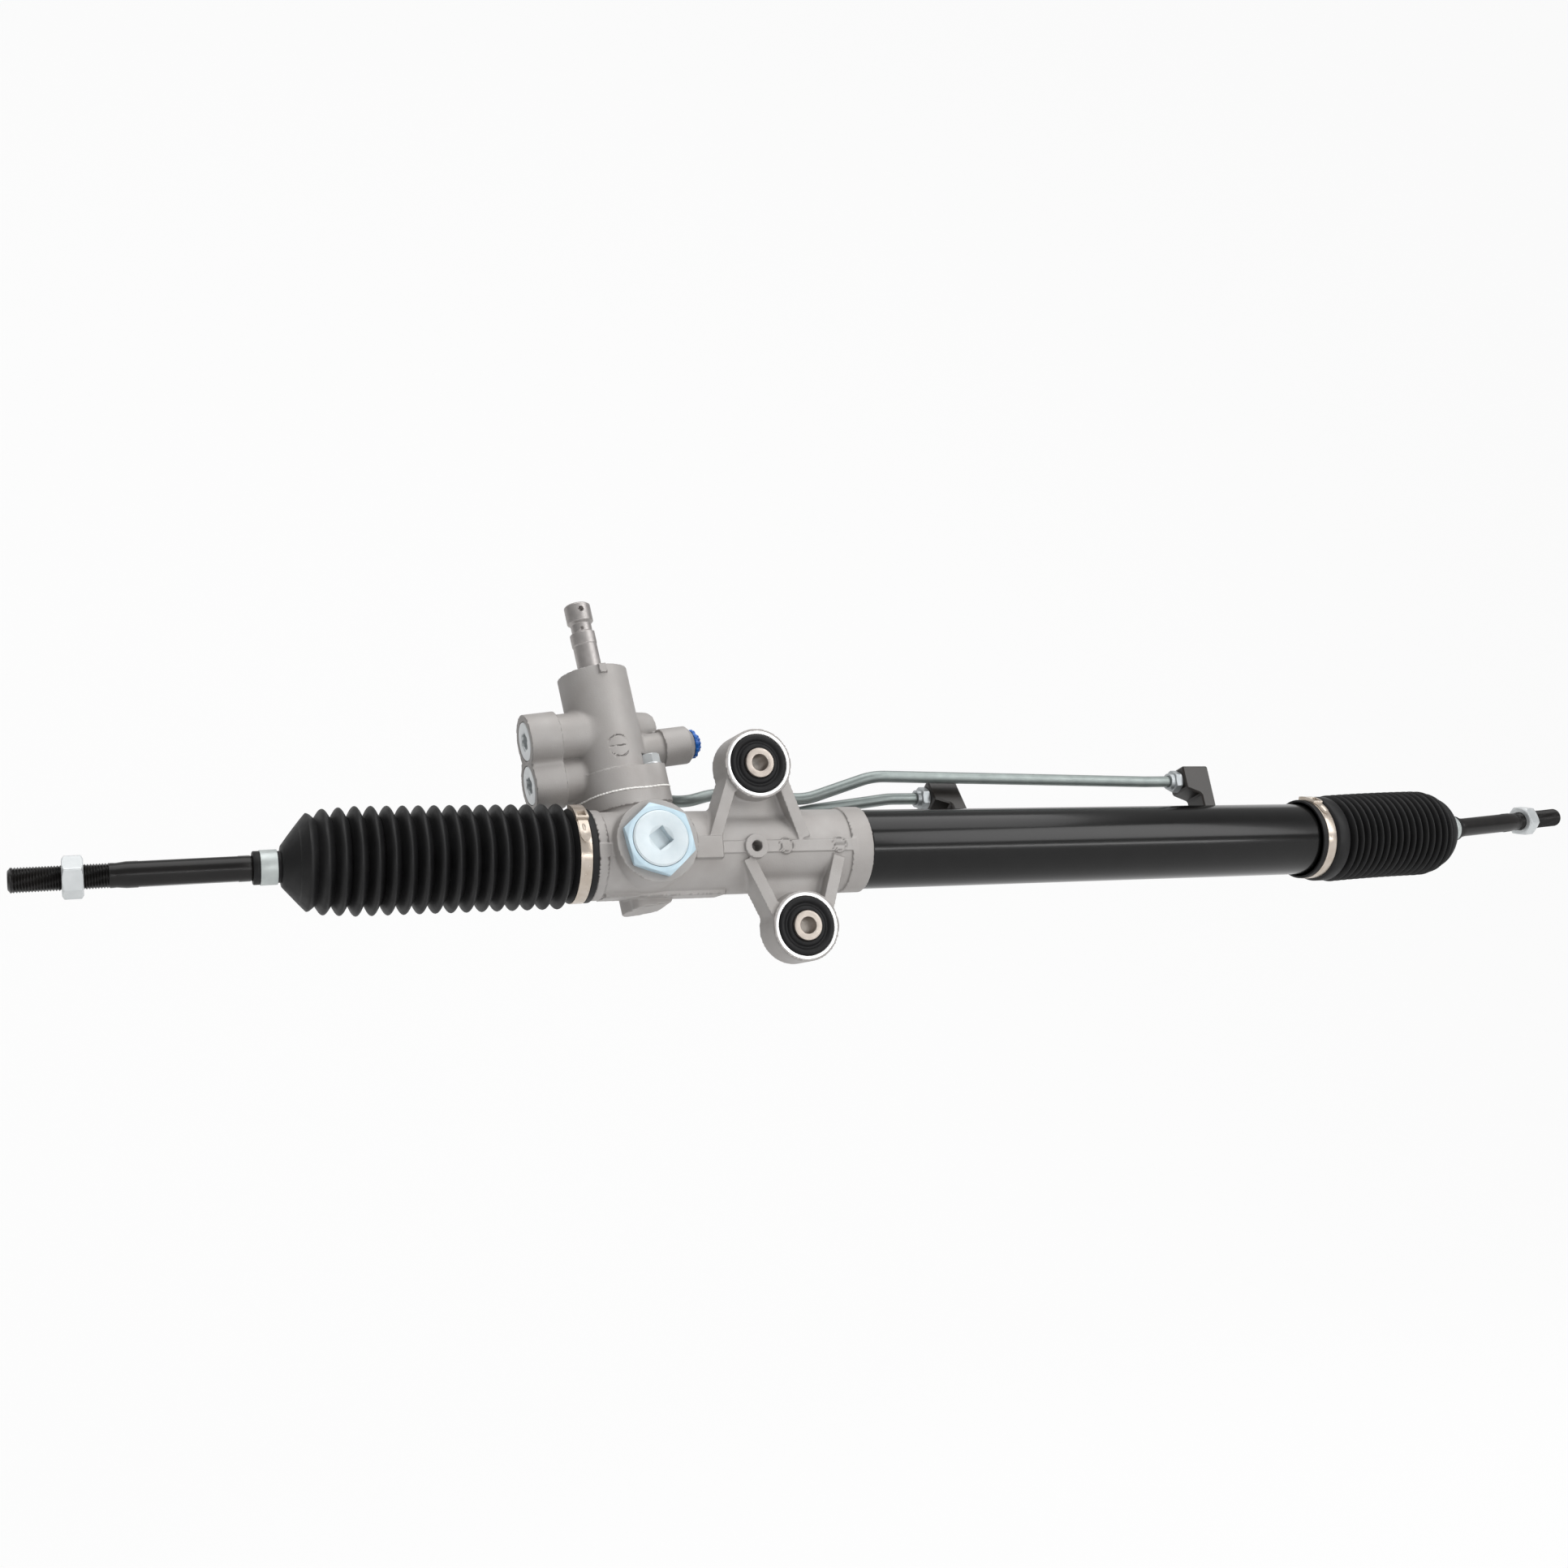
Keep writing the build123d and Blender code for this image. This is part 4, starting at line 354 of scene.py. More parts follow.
def swept(name, path, radius, look, body, replaces=(), around=20):
    """A round bar along a path: each ring is square to the path, its x axis carried on without twist."""
    path = np.asarray(path, float)
    along = np.gradient(path, axis=0)
    along /= np.linalg.norm(along, axis=1)[:, None]
    side = np.cross(along[0], Z)
    sides = []
    for direction in along:
        side = side - direction * (side @ direction)
        side = side / np.linalg.norm(side)
        sides.append(side)
    sides = np.array(sides)
    ups = np.cross(along, sides)
    a = np.linspace(0, 2 * np.pi, around, endpoint=False)[None, :, None]
    rings = path[:, None] + radius * (np.cos(a) * sides[:, None] + np.sin(a) * ups[:, None])
    first, last = (np.broadcast_to(path[k], rings[:1].shape) for k in (0, -1))
    rings = np.concatenate([first, rings, last])
    faces = grid_faces(len(rings), around, False, True)
    return piece(name, rings.reshape(-1, 3), faces, look, body, replaces, 60)


def bent(points, radii, spacing=2.0):
    """A path of straight runs joined by tangent arcs, whose centres and ends follow from their two runs."""
    points = np.asarray(points, float)
    path = [points[0]]
    for before, here, after, radius in zip(points, points[1:], points[2:], radii):
        u, v = (before - here) / np.linalg.norm(before - here), (after - here) / np.linalg.norm(after - here)
        half = np.arccos(np.clip(u @ v, -1, 1)) / 2
        middle = (u + v) / np.linalg.norm(u + v)
        centre = here + middle * radius / np.sin(half)
        start, end = here + u * radius / np.tan(half) - centre, here + v * radius / np.tan(half) - centre
        swing = np.pi - 2 * half
        t = np.linspace(0, 1, max(int(swing * radius / spacing), 3))[:, None]
        arc = (np.sin((1 - t) * swing) * start + np.sin(t * swing) * end) / np.sin(swing)
        path.extend(centre + arc)
    return np.array(path + [points[-1]])


# Castings: each is a distance field, in which smooth unions leave the fillets of the mould


def local(p, spot):
    return (p - spot[0]) @ spot[1]


def cylinder(p, spot, start, end, radius):
    """Distance to a finite cylinder on a frame's z axis."""
    q = local(p, spot)
    side = np.hypot(q[..., 0], q[..., 1]) - radius
    cap = np.abs(q[..., 2] - (start + end) / 2) - (end - start) / 2
    return np.minimum(np.maximum(side, cap), 0) + np.hypot(np.maximum(side, 0), np.maximum(cap, 0))


def block(p, spot, low, high):
    """Distance to a box between two corners of a frame."""
    low, high = np.array(low, float), np.array(high, float)
    q = np.abs(local(p, spot) - (low + high) / 2) - (high - low) / 2
    return np.minimum(q.max(-1), 0) + np.linalg.norm(np.maximum(q, 0), axis=-1)


def plate(p, corners, front, back):
    """Distance to a flat plate between two depths, with a convex (x, z) outline: its furthest edge plane."""
    corners = np.array(corners, float)
    edges = np.roll(corners, -1, 0) - corners
    area = np.sum(corners[:, 0] * np.roll(corners[:, 1], -1) - np.roll(corners[:, 0], -1) * corners[:, 1])
    out = np.stack([edges[:, 1], -edges[:, 0]], 1) * np.sign(area) / np.linalg.norm(edges, axis=1)[:, None]
    d = np.abs(p[..., 1] - (front + back) / 2) - (back - front) / 2
    for corner, normal in zip(corners, out):
        d = np.maximum(d, (p[..., 0] - corner[0]) * normal[0] + (p[..., 2] - corner[1]) * normal[1])
    return d


def merge(a, b, fillet):
    """Union with a fillet: the polynomial smooth minimum."""
    h = np.clip(0.5 + 0.5 * (b - a) / fillet, 0, 1)
    return b + (a - b) * h - fillet * h * (1 - h)


def carve(a, b, edge=0.6):
    """Difference with a small broken edge."""
    return -merge(-a, b, edge)


def casting(name, distance, low, high, cell, body, replaces, look="cast"):
    """Surface where the distance field is zero.

    Every grid cell that the surface crosses gets one point, the mean of its edges' crossings, and every
    crossed grid edge gets the quad of the four cells round it. The points then slide onto the surface.
    """
    counts = [int(np.ceil((h - l) / cell)) + 1 for l, h in zip(low, high)]
    axes = [l + cell * np.arange(n) for l, n in zip(low, counts)]
    field = np.empty(counts, np.float32)
    for start in range(0, counts[0], 24):
        part = np.stack(np.meshgrid(axes[0][start : start + 24], axes[1], axes[2], indexing="ij"), -1)
        field[start : start + 24] = distance(part)
    inside = field < 0
    total = np.zeros([n - 1 for n in counts] + [3], np.float32)
    hits = np.zeros([n - 1 for n in counts], np.float32)
    quads = []
    for axis in range(3):
        lo_end = [slice(None)] * 3
        hi_end = [slice(None)] * 3
        lo_end[axis], hi_end[axis] = slice(None, -1), slice(1, None)
        a, b = field[tuple(lo_end)], field[tuple(hi_end)]
        crossed = inside[tuple(lo_end)] != inside[tuple(hi_end)]
        share = np.where(crossed, a / np.where(crossed, a - b, 1), 0)
        others = [k for k in range(3) if k != axis]
        for du in (0, 1):
            for dv in (0, 1):
                take = [slice(None)] * 3
                take[others[0]] = slice(du, counts[others[0]] - 1 + du)
                take[others[1]] = slice(dv, counts[others[1]] - 1 + dv)
                weight = crossed[tuple(take)].astype(np.float32)
                hits += weight
                total[..., axis] += weight * share[tuple(take)]
                total[..., others[0]] += weight * du
                total[..., others[1]] += weight * dv
        where = np.argwhere(crossed)
        keep = np.all([(where[:, k] > 0) & (where[:, k] < counts[k] - 1) for k in others], axis=0)
        where = where[keep]
        rounds = []
        for du, dv in ((-1, -1), (0, -1), (0, 0), (-1, 0)):
            cell_at = where.copy()
            cell_at[:, others[0]] += du
            cell_at[:, others[1]] += dv
            rounds.append(cell_at)
        quads.append(np.stack(rounds, 1))
    used = hits > 0
    number = np.full(used.shape, -1)
    number[used] = np.arange(used.sum())
    corner = np.argwhere(used)
    points = np.array(low) + cell * (corner + total[used] / hits[used][:, None])
    quads = np.concatenate(quads)
    faces = number[quads[..., 0], quads[..., 1], quads[..., 2]]

    def gradient(p, eps):
        return np.stack([(distance(p + eps * k) - distance(p - eps * k)) / (2 * eps) for k in np.eye(3)], -1)

    for _ in range(2):
        slope = gradient(points, 0.1)
        shift = distance(points)[:, None] * slope / np.maximum((slope**2).sum(-1, keepdims=True), 0.2)
        points = points - np.clip(shift, -cell / 2, cell / 2)
    made = piece(name, points, faces, look, body, replaces, 180)
    normals = gradient(np.array([v.co for v in made.data.vertices]) * 1000 + ORIGIN, 0.25)
    normals /= np.maximum(np.linalg.norm(normals, axis=1), 1e-6)[:, None]
    made.data.normals_split_custom_set_from_vertices(normals.tolist())
    return made


def bush_frame(which):
    x, z = BUSHES[which]
    return place([x, BUSH_FRONT, z], Y, X)


LEG_AIM, LEG_WIDTH = 12.5, 7.8
LEG_BASES = {"upper": ((-107.5, 5.0), (-47.7, 5.0)), "lower": ((-86.0, -7.0), (-24.7, -7.0))}


def leg_lines(which):
    """Both legs' middle lines in x and z, each from its base past the bush's centre at the aim radius."""
    centre = np.array(BUSHES[which])
    up = 1 if centre[1] > 0 else -1
    lines = []
    for base, side in zip(LEG_BASES[which], (up, -up)):
        base = np.array(base)
        away = centre - base
        reach = np.linalg.norm(away)
        angle = side * np.arcsin(LEG_AIM / reach)
        c, s = np.cos(angle), np.sin(angle)
        along = np.array([c * away[0] - s * away[1], s * away[0] + c * away[1]]) / reach
        lines.append((base, base + along * np.sqrt(reach**2 - LEG_AIM**2), along))
    return lines


# stations along the pinion's axis: the joint of both castings, and where each flange starts and ends
JOINT = 41.0
HOUSING_FLANGE, VALVE_FLANGE = (31, 41), (41.2, 56)
BOLT_RIGHT, BOLT_REAR = 21.5, -11.0


def bolt_frames():
    return [place(at(PINION, s * BOLT_RIGHT, s * BOLT_REAR, JOINT), PINION_AXIS) for s in (1, -1)]


def flange(p, start, end):
    """The valve joint's flange: a round body and two bolt ears, joined by smooth unions."""
    body = cylinder(p, PINION, start, end, 23.2)
    for bolt in bolt_frames():
        ear = cylinder(p, bolt, start - JOINT, end - JOINT, 9.0)
        body = merge(body, ear, 9.0)
        body = np.maximum(body, np.abs(local(p, PINION)[..., 2] - (start + end) / 2) - (end - start) / 2)
    return body


def lower_boss(p):
    """Boss of the pinion's lower bearing: a cylinder and a block with rounded uprights, less one corner."""
    q = local(p, PINION)
    side = np.hypot(*(np.maximum(np.abs(q[..., k] - c) - 8.5, 0) for k, c in ((0, 3.0), (1, -3.0)))) - 5.0
    front = np.maximum(side, np.maximum(-32.5 - q[..., 2], q[..., 2]))
    corner = (q[..., 0] - 13.0 - (q[..., 2] + 32.5)) / np.sqrt(2)
    return carve(merge(cylinder(p, PINION, -32.5, 0, 13.5), front, 1.0), -corner, 0.8)


# the front boss with the tapped hole, the two round marks' places with their bars, and the arms' depths
TAPPED_X, TAPPED_FRONT = -81.0, -29.8
MARKS = {-60.6: (), -24.2: (-0.8, 0.8)}
LEG_FRONT, WEB_FRONT, LEG_BACK = -27.4, -18.0, -7.0


def rack_housing(p):
    """The main casting: barrel, bosses, flange, two arms on legs, strip and pad, less its bores."""
    d = cylinder(p, RACK, -198, 0, 25.4)
    d = merge(d, cylinder(p, RACK, -181, -15, 26.4), 0.8)
    d = merge(d, cylinder(p, RACK, -181, -175, 27.6), 0.8)
    d = merge(d, cylinder(p, RACK, -15, -0.2, 27.8), 1.0)
    d = merge(d, cylinder(p, ADJUSTER, 0, 36, 25.6), 2.5)
    d = merge(d, lower_boss(p), 1.0)
    d = merge(d, cylinder(p, PINION, 0, 41, 21.5), 3.0)
    d = merge(d, flange(p, *HOUSING_FLANGE), 1.2)
    for which in BUSHES:
        arm = cylinder(p, bush_frame(which), 0, BUSH_LENGTH, 22.0)
        ends = []
        for base, tip, along in leg_lines(which):
            across = np.array([-along[1], along[0]]) * LEG_WIDTH / 2
            sides = [base + across, tip + across, tip - across, base - across]
            arm = merge(arm, plate(p, sides, LEG_FRONT, LEG_BACK), 1.5)
            ends += [base, tip]
        web = plate(p, [ends[0], ends[1], ends[3], ends[2]], WEB_FRONT, LEG_BACK)
        d = merge(d, merge(arm, web, 1.5), 2.0)
    rack = place([0, 0, 0], Z, X)
    d = merge(d, block(p, rack, (-174, -10.5, -27.2), (-96, 10.5, -20)), 0.6)
    strip = block(p, rack, (-181, -27.6, -3.8), (-12, -18, 3.8))
    strip = merge(strip, block(p, rack, (-121.2, -29.2, -7.1), (-102.8, -18, 7.1)), 0.5)
    for x, radius, front in ((TAPPED_X, 7.7, TAPPED_FRONT), *((x, 5.2, -28.1) for x in MARKS)):
        strip = merge(strip, cylinder(p, place([x, 0, 0], -Y), 18, -front, radius), 0.5)
    d = merge(d, strip, 0.8)
    for x, bars in MARKS.items():
        cut = cylinder(p, place([x, 0, 0], -Y), 27.7, 29, 4.4)
        cut = np.maximum(cut, -cylinder(p, place([x, 0, 0], -Y), 27, 30, 3.6))
        for z in bars:
            cut = np.minimum(cut, block(p, rack, (x - 4, -29, z - 0.35), (x + 4, -27.7, z + 0.35)))
        d = carve(d, cut, 0.15)
    for cut in (
        cylinder(p, RACK, -199, -178, 19.0),
        cylinder(p, RACK, -179, -29, 15.0),
        cylinder(p, RACK, -30, 1, 22.4),
        cylinder(p, ADJUSTER, 0, 43, 15.0),
        cylinder(p, ADJUSTER, 26.5, 43, 17.3),
        cylinder(p, PINION, -15, 23, 11.2),
        cylinder(p, PINION, -27, 0, 10.4),
        cylinder(p, PINION, -30, 0, 8.0),
        cylinder(p, PINION, 22, 42, 17.5),
        cylinder(p, place([TAPPED_X, TAPPED_FRONT, 0], Y), -1, 12, 3.4),
        *(cylinder(p, bush_frame(which), -2, 26, 18.5) for which in BUSHES),
        *(cylinder(p, bolt, -13, 1, 4.0) for bolt in bolt_frames()),
    ):
        d = carve(d, cut, 0.4)
    return d


PLUGS = [place(at(PINION, 0, b, q), -PINION_RIGHT, PINION_REAR) for b, q in ((-4.6, 84.0), (4.7, 58.0))]
RETURN_TURN = np.radians(26.0)
RETURN_AXIS = np.cos(RETURN_TURN) * PINION_RIGHT + np.sin(RETURN_TURN) * PINION_REAR
RETURN_PORT = place(at(PINION, 0, 0, 87.0), RETURN_AXIS, PINION_AXIS)
PRESSURE_PORT = place(at(PINION, 0, 0, 70.0), PINION_RIGHT, PINION_REAR)
LINE_PORTS = {
    which: place(at(PINION, a, 0, q), TILTED_Y, PINION_RIGHT)
    for which, a, q in (("short", 4.0, 62.0), ("long", 0.0, 88.0))
}


def valve_housing(p):
    """The valve's casting: body, flange, plug bosses, ports and the bosses of both lines, less its bores."""
    d = cylinder(p, PINION, VALVE_FLANGE[0], 123.5, 22.4)
    d = merge(d, flange(p, *VALVE_FLANGE), 0.7)
    bosses = np.minimum(*[cylinder(p, spot, 34, 54, 16.8) for spot in PLUGS])
    line = PLUGS[1][0] - PLUGS[0][0]
    waist = place((PLUGS[0][0] + PLUGS[1][0]) / 2, line, PLUGS[0][1][:, 2])
    bosses = merge(bosses, block(p, waist, (34, -11.5, -9), (53.6, 11.5, 9)), 1.5)
    necks = np.minimum(*[cylinder(p, spot, 0, 36, 14.6) for spot in PLUGS])
    d = merge(d, merge(bosses, necks, 1.2), 2.2)
    boss = cylinder(p, PRESSURE_PORT, 34.5, 56, 12.3)
    out = local(p, PRESSURE_PORT)
    boss = np.maximum(boss, (np.hypot(out[..., 0], out[..., 1]) + out[..., 2] - 64.3) * 0.7071)
    d = merge(d, merge(cylinder(p, PRESSURE_PORT, 0, 36, 10.2), boss, 1.0), 2.0)
    d = merge(d, cylinder(p, RETURN_PORT, 0, 36, 12.0), 2.0)
    for port in LINE_PORTS.values():
        d = merge(d, cylinder(p, port, 0, 31, 9.5), 2.0)
    d = merge(d, block(p, PINION, (-2.5, -24.4, 117.5), (2.5, -20, 123.5)), 0.8)
    mark = place(at(PINION, 0, 0, 69.5), -PINION_REAR, PINION_AXIS)
    ring = np.maximum(cylinder(p, mark, 21.4, 24, 7.3), -cylinder(p, mark, 20, 26, 6.6))
    bar = np.maximum(np.abs(local(p, mark)[..., 0]) - 0.35, cylinder(p, mark, 21.4, 24, 6.7))
    d = carve(d, np.minimum(ring, bar), 0.15)
    for cut in (
        cylinder(p, PINION, 39, 95, 15.8),
        cylinder(p, PINION, 94, 110, 12.0),
        cylinder(p, PINION, 110, 125, 15.0),
        *(cylinder(p, spot, 42, 55, 12.5) for spot in PLUGS),
        cylinder(p, PRESSURE_PORT, 42, 58, 6.0),
        cylinder(p, RETURN_PORT, 22, 38, 6.0),
        *(cylinder(p, bolt, -1, 15, 4.0) for bolt in bolt_frames()),
        *(cylinder(p, bolt, 15, 23.5, 7.65) for bolt in bolt_frames()),
    ):
        d = carve(d, cut, 0.4)
    return d


def flange_bead(p):
    """Sealant pressed out of the flange joint: the flange's outline, grown by beads that swell and shrink."""
    q = local(p, PINION)
    swell = 0.25 * np.sin(q[..., 0] * 2.3) * np.cos(q[..., 1] * 2.1)
    return np.maximum(flange(p, 40.4, 41.8) - 0.35 - swell, np.abs(q[..., 2] - 41.1) - 0.55)
casting("cast_rack_housing", rack_housing, (-200, -47, -74.5), (2, 43, 76), 1.1, "housing", ["rack_housing"])
casting(
    "cast_valve_housing", valve_housing, (-222, -20, 25), (-82, 56, 130), 0.85, "housing", ["valve_housing"],
)
casting("joint_sealant", flange_bead, (-192, -20, 30), (-110, 50, 54), 0.5, "housing", (), "sealant")

# Cylinder tube

turned(
    "cylinder_tube_skin", RACK,
    [
        (-30, 18.5), (-30, 22.3), (0.1, 22.3), (0.1, 25.2), (1.0, 25.8), (358.6, 25.8),
        (359.2, 25.35), (372, 25.35), (372, 21.8), (14, 21.8), (14, 18.5),
    ],
    "enamel", "housing", ["cylinder_tube"], around=160, ease=0.3,
)

# Mounting bushes

for which in BUSHES:
    spot = bush_frame(which)
    front = [(-1.2, 9.35), (-1.2, 12), (0.2, 13), (0.2, 14), (-1.2, 15.4), (-1.2, 17.4), (0, 18.4)]
    rear = [(BUSH_LENGTH - z, r) for z, r in reversed(front)]
    turned(
        which + "_bush_rubber_ring", spot, front + rear,
        "bush_rubber", "housing", [which + "_bushing_rubber"], ease=1.1,
    )
    turned(
        which + "_bush_steel_sleeve", spot, [(-3, 5.25), (-3, 9.3), (27, 9.3), (27, 5.25)],
        "sleeve", "housing", [which + "_bushing_sleeve"], ease=0.5,
    )
    turned(
        which + "_bush_turned_face", spot, [(-0.1, 18.8), (-0.1, 20.6), (0.6, 20.6), (0.6, 18.8)],
        "machined", "housing", ease=0.1,
    )

# Rack guide adjuster


RECESS_HALF = 5.5
RECESS_MARK = 6.5  # the profile's radius that stands for the recess


def square_recess(z, a, r):
    """Relief of the plug's square hole: the larger of half its width / max(|cos|, |sin|) and its cone."""
    b = a - np.radians(35.0)
    square = RECESS_HALF / np.maximum(np.abs(np.cos(b)), np.abs(np.sin(b)))
    return np.where(np.abs(r - RECESS_MARK) < 0.01, np.maximum(square, RECESS_HALF + (z - 41.3) * 1.9), r)


turned(
    "adjuster_hex_locknut", ADJUSTER,
    [(36, 17.4), (36, 20.2), (37.2, 23.0), (40.0, 23.0), (41.5, 20.0), (41.5, 17.4)],
    "locknut", "housing", ["adjuster_locknut"],
    around=240, ease=0.4, relief=hexagonal(40.0, 41.5), step=0.7, angle=28,
)
turned(
    "adjuster_face_plug", ADJUSTER,
    [
        (26.5, 0), (26.5, 17.2), (41.9, 17.2), (42.2, 16.6), (42.5, 16.2), (42.5, 7.9),
        *((z, RECESS_MARK) for z in (42.4, 42.1, 41.8, 41.5, 41.2, 36.5)), (36.5, 0),
    ],
    "plug", "housing", ["adjuster_plug"], around=240, ease=0, relief=square_recess, angle=30,
)

# Valve: input shaft, plugs, caps and bolts


def shaft_flat(z, a, r):
    """Relief of the input shaft: a flat on its right side, a hole in its head and a dimple in its groove."""
    flat = np.where((z > 123.5) & (z < 152.0), np.minimum(r, 6.2 / np.maximum(np.cos(a), 0.05)), r)
    for middle, turned_by, radius, depth in ((166.5, -92.0, 1.7, 3.0), (154.0, -106.0, 1.1, 1.2)):
        off = np.hypot(z - middle, np.sin((a - np.radians(turned_by)) / 2) * 2 * r)
        flat = flat - depth * np.clip((radius - off) * 2.5, 0, 1) * (r > 5)
    return flat


def star_recess(z, a, r):
    """Relief of the port screws: six shallow lobes round the socket."""
    return np.where((r > 3.0) & (r < 6.5), r * (1 + 0.09 * np.cos(6 * a)), r)


def cap_grip(z, a, r):
    """Relief of the port caps: twelve ribs, deeper on the knob than on the skirt."""
    depth = np.where(r < 7, 0.07, 0.03)
    return np.where(r > 3, r * (1 - depth * np.clip(np.cos(12 * a) * 3, -1, 1)), r)


def bolt_head(z, a, r):
    """Relief of the flange bolts: hexagonal above the groove over the washer face."""
    return np.where(z > 16.45, hexagonal(12.0, 27.0)(z, a, r), r)


turned(
    "input_shaft_turned", PINION,
    [
        (50, 0), (50, 10.85), (94, 10.85), (94, 8), (143, 8), (143.8, 8.5), (151.5, 8.5), (152.8, 6.7),
        (157.8, 6.7), (159.5, 8.5), (170.5, 8.5), (171.5, 7.4), (171.5, 0),
    ],
    "shaft", "input", ["input_shaft"], around=180, ease=0.3, relief=shaft_flat, step=0.5, angle=32,
)
for name, spot in zip(("upper", "lower"), PLUGS):
    turned(
        name + "_port_screw", spot,
        [(42, 0), (42, 12.3), (53.4, 12.3), (54, 11.8), (54, 6.0), (53.3, 5.4), (49, 5.3), (49, 0)],
        "zinc", "housing", ["port_plugs"], around=120, ease=0.25, relief=star_recess, angle=30,
    )
for name, spot, end in (("pressure", PRESSURE_PORT, 56.0), ("return", RETURN_PORT, 36.0)):
    turned(
        name + "_cap_moulding", spot,
        [
            (end - 7, 0), (end - 7, 5.9), (end, 5.9), (end, 9.1), (end + 2, 9.1),
            (end + 2.2, 5.6), (end + 5, 5.4), (end + 5, 4.4), (end + 3.4, 4.1), (end + 3.4, 0),
        ],
        "blue", "housing", [name + "_port_cap"], around=144, ease=0.3, relief=cap_grip, angle=40,
    )
for index, bolt in enumerate(bolt_frames()):
    turned(
        "flange_bolt_%d" % (index + 1), bolt,
        [
            (-13, 0), (-13, 3.9), (15, 3.9), (15, 7.5), (16.3, 7.4),
            (16.5, 5.9), (16.6, 6.95), (21.7, 6.95), (22.5, 6.0), (22.5, 0),
        ],
        "zinc", "housing", ["flange_bolts"], around=120, ease=0.3, relief=bolt_head, angle=30,
    )

# Pressure lines and their nuts


def block_frame(x, angle, radius):
    away = turn(-angle, X, Z)
    return place(np.array([x, 0, 0]) + radius * away, away, X)


BLOCKS = {"long": block_frame(275.0, 9.9, 45.5), "short": block_frame(78.0, 32.6, 43.7)}
LINE_RADIUS = 3.95
BETWEEN = {
    "long": [(22, 12, 50.5), (-22, 27, 37.5), (-78, 42, 45), (-108, 38, 37), (-128, 66, 52)],
    "short": [(-16, 30, 31), (-70, 40, 22), (-130, 76, 22)],
}


def bend_radii(points):
    """Each bend's radius: 0.45 of its shorter run over the tangent of half its turn, and 40 at most."""
    runs = np.diff(np.array(points), axis=0)
    lengths = np.linalg.norm(runs, axis=1)
    cosine = (runs[:-1] * runs[1:]).sum(1) / (lengths[:-1] * lengths[1:])
    half = np.arccos(np.clip(cosine, -1, 1)) / 2
    return np.minimum(0.45 * np.minimum(lengths[:-1], lengths[1:]) / np.tan(half), 40.0)


for which, between in BETWEEN.items():
    seat, port = BLOCKS[which], LINE_PORTS[which]
    corners = [at(seat, -6, 0, 0), at(seat, -40, 0, 0)]
    corners += [np.array(p, float) for p in between]
    corners += [at(port, 0, 0, 60), at(port, 0, 0, 26)]
    path = bent(corners, bend_radii(corners))
    swept(which + "_bent_line", path, LINE_RADIUS, "line", "housing", [which + "_pressure_line"])
    nuts = {
        "block": place(at(seat, -11, 0, 0), -X, Z),
        "port": place(at(port, 0, 0, 31), port[1][:, 2], port[1][:, 0]),
    }
    for end, spot in nuts.items():
        turned(
            which + "_" + end + "_nut", spot,
            [(0, 4.05), (0, 7.2), (0.7, 8.05), (4.9, 8.05), (5.5, 7.3), (5.7, 6.0), (8.5, 5.8), (8.5, 4.05)],
            "nut", "housing", ["flare_nuts"], around=120, ease=0.3, relief=hexagonal(14.0), angle=30,
        )

# Tie rods, jam nuts and the clips on the boots' necks

THREAD_START, THREAD_END, THREAD_PITCH, THREAD_RADIUS = 165.8, 215.8, 1.5, 7.0
BALL_RADIUS, BALL_NECK = 12.5, 6
JAM_NUTS = {"left": 185.0, "right": 177.0}
SHANK = [
    (24, BALL_NECK), (32, 7.4), (75, 7.4), (76, 7), (92.5, 7), (93.5, 7.4), (99.5, 7.4), (99.6, 7.399),
    (151.9, 7.399), (152, 7.4), (158, 7.4), (165, 6.6),
]
cut_thread = threaded(THREAD_START, THREAD_END, THREAD_PITCH, 0.8)


def rod_relief(z, a, r):
    """The tie rod's two spanner flats, 14 across, and its M14 x 1.5 thread."""
    on_flats = (z > 99.5) & (z < 152) & (r > 7.3)
    flat = np.where(on_flats, np.minimum(r, 7.0 / np.maximum(np.abs(np.sin(a)), 0.1)), r)
    return np.where(z > THREAD_START, cut_thread(z, a, r), flat)


for side, spot in RODS.items():
    turns = np.linspace(np.pi, np.arcsin(BALL_NECK / BALL_RADIUS), 28)
    ball = [(BALL_RADIUS * np.cos(t), BALL_RADIUS * np.sin(t)) for t in turns]
    blank = [(-BALL_RADIUS, 0)] + ball + SHANK + [(216, 6.0), (217, 5), (217, 0)]
    profile = divided(np.array(blank), 30)
    # the thread's close stations take the place of the blank's end
    stations = np.linspace(166, 215.6, 268)
    thread = np.stack([stations, np.full(len(stations), THREAD_RADIUS)], 1)
    profile = np.concatenate([profile[profile[:, 0] < 165.5], thread, [(216.3, 6.0), (217, 5.2), (217, 0)]])
    turned(
        side + "_tie_rod_forging", spot, profile, "black_steel", side + "_rod", [side + "_tie_rod"],
        around=64, ease=0, relief=rod_relief, angle=50,
    )
    middle = JAM_NUTS[side]
    chamfers = [(-5.5, 7.05), (-5.5, 10.0), (-4.3, 12.0), (4.3, 12.0), (5.5, 10.0), (5.5, 7.05)]
    turned(
        side + "_hex_jam_nut", spot, [(middle + z, r) for z, r in chamfers],
        "zinc", side + "_rod", [side + "_jam_nut"],
        around=240, ease=0.3, relief=hexagonal(21.0, 15.0), step=0.7, angle=28,
    )
    turned(
        side + "_neck_spring_clip", spot, [(78.7, 9.3), (78.7, 10.1), (88.2, 10.1), (88.2, 9.3)],
        "clip", side + "_rod", [side + "_neck_clip"], ease=0.3,
    )
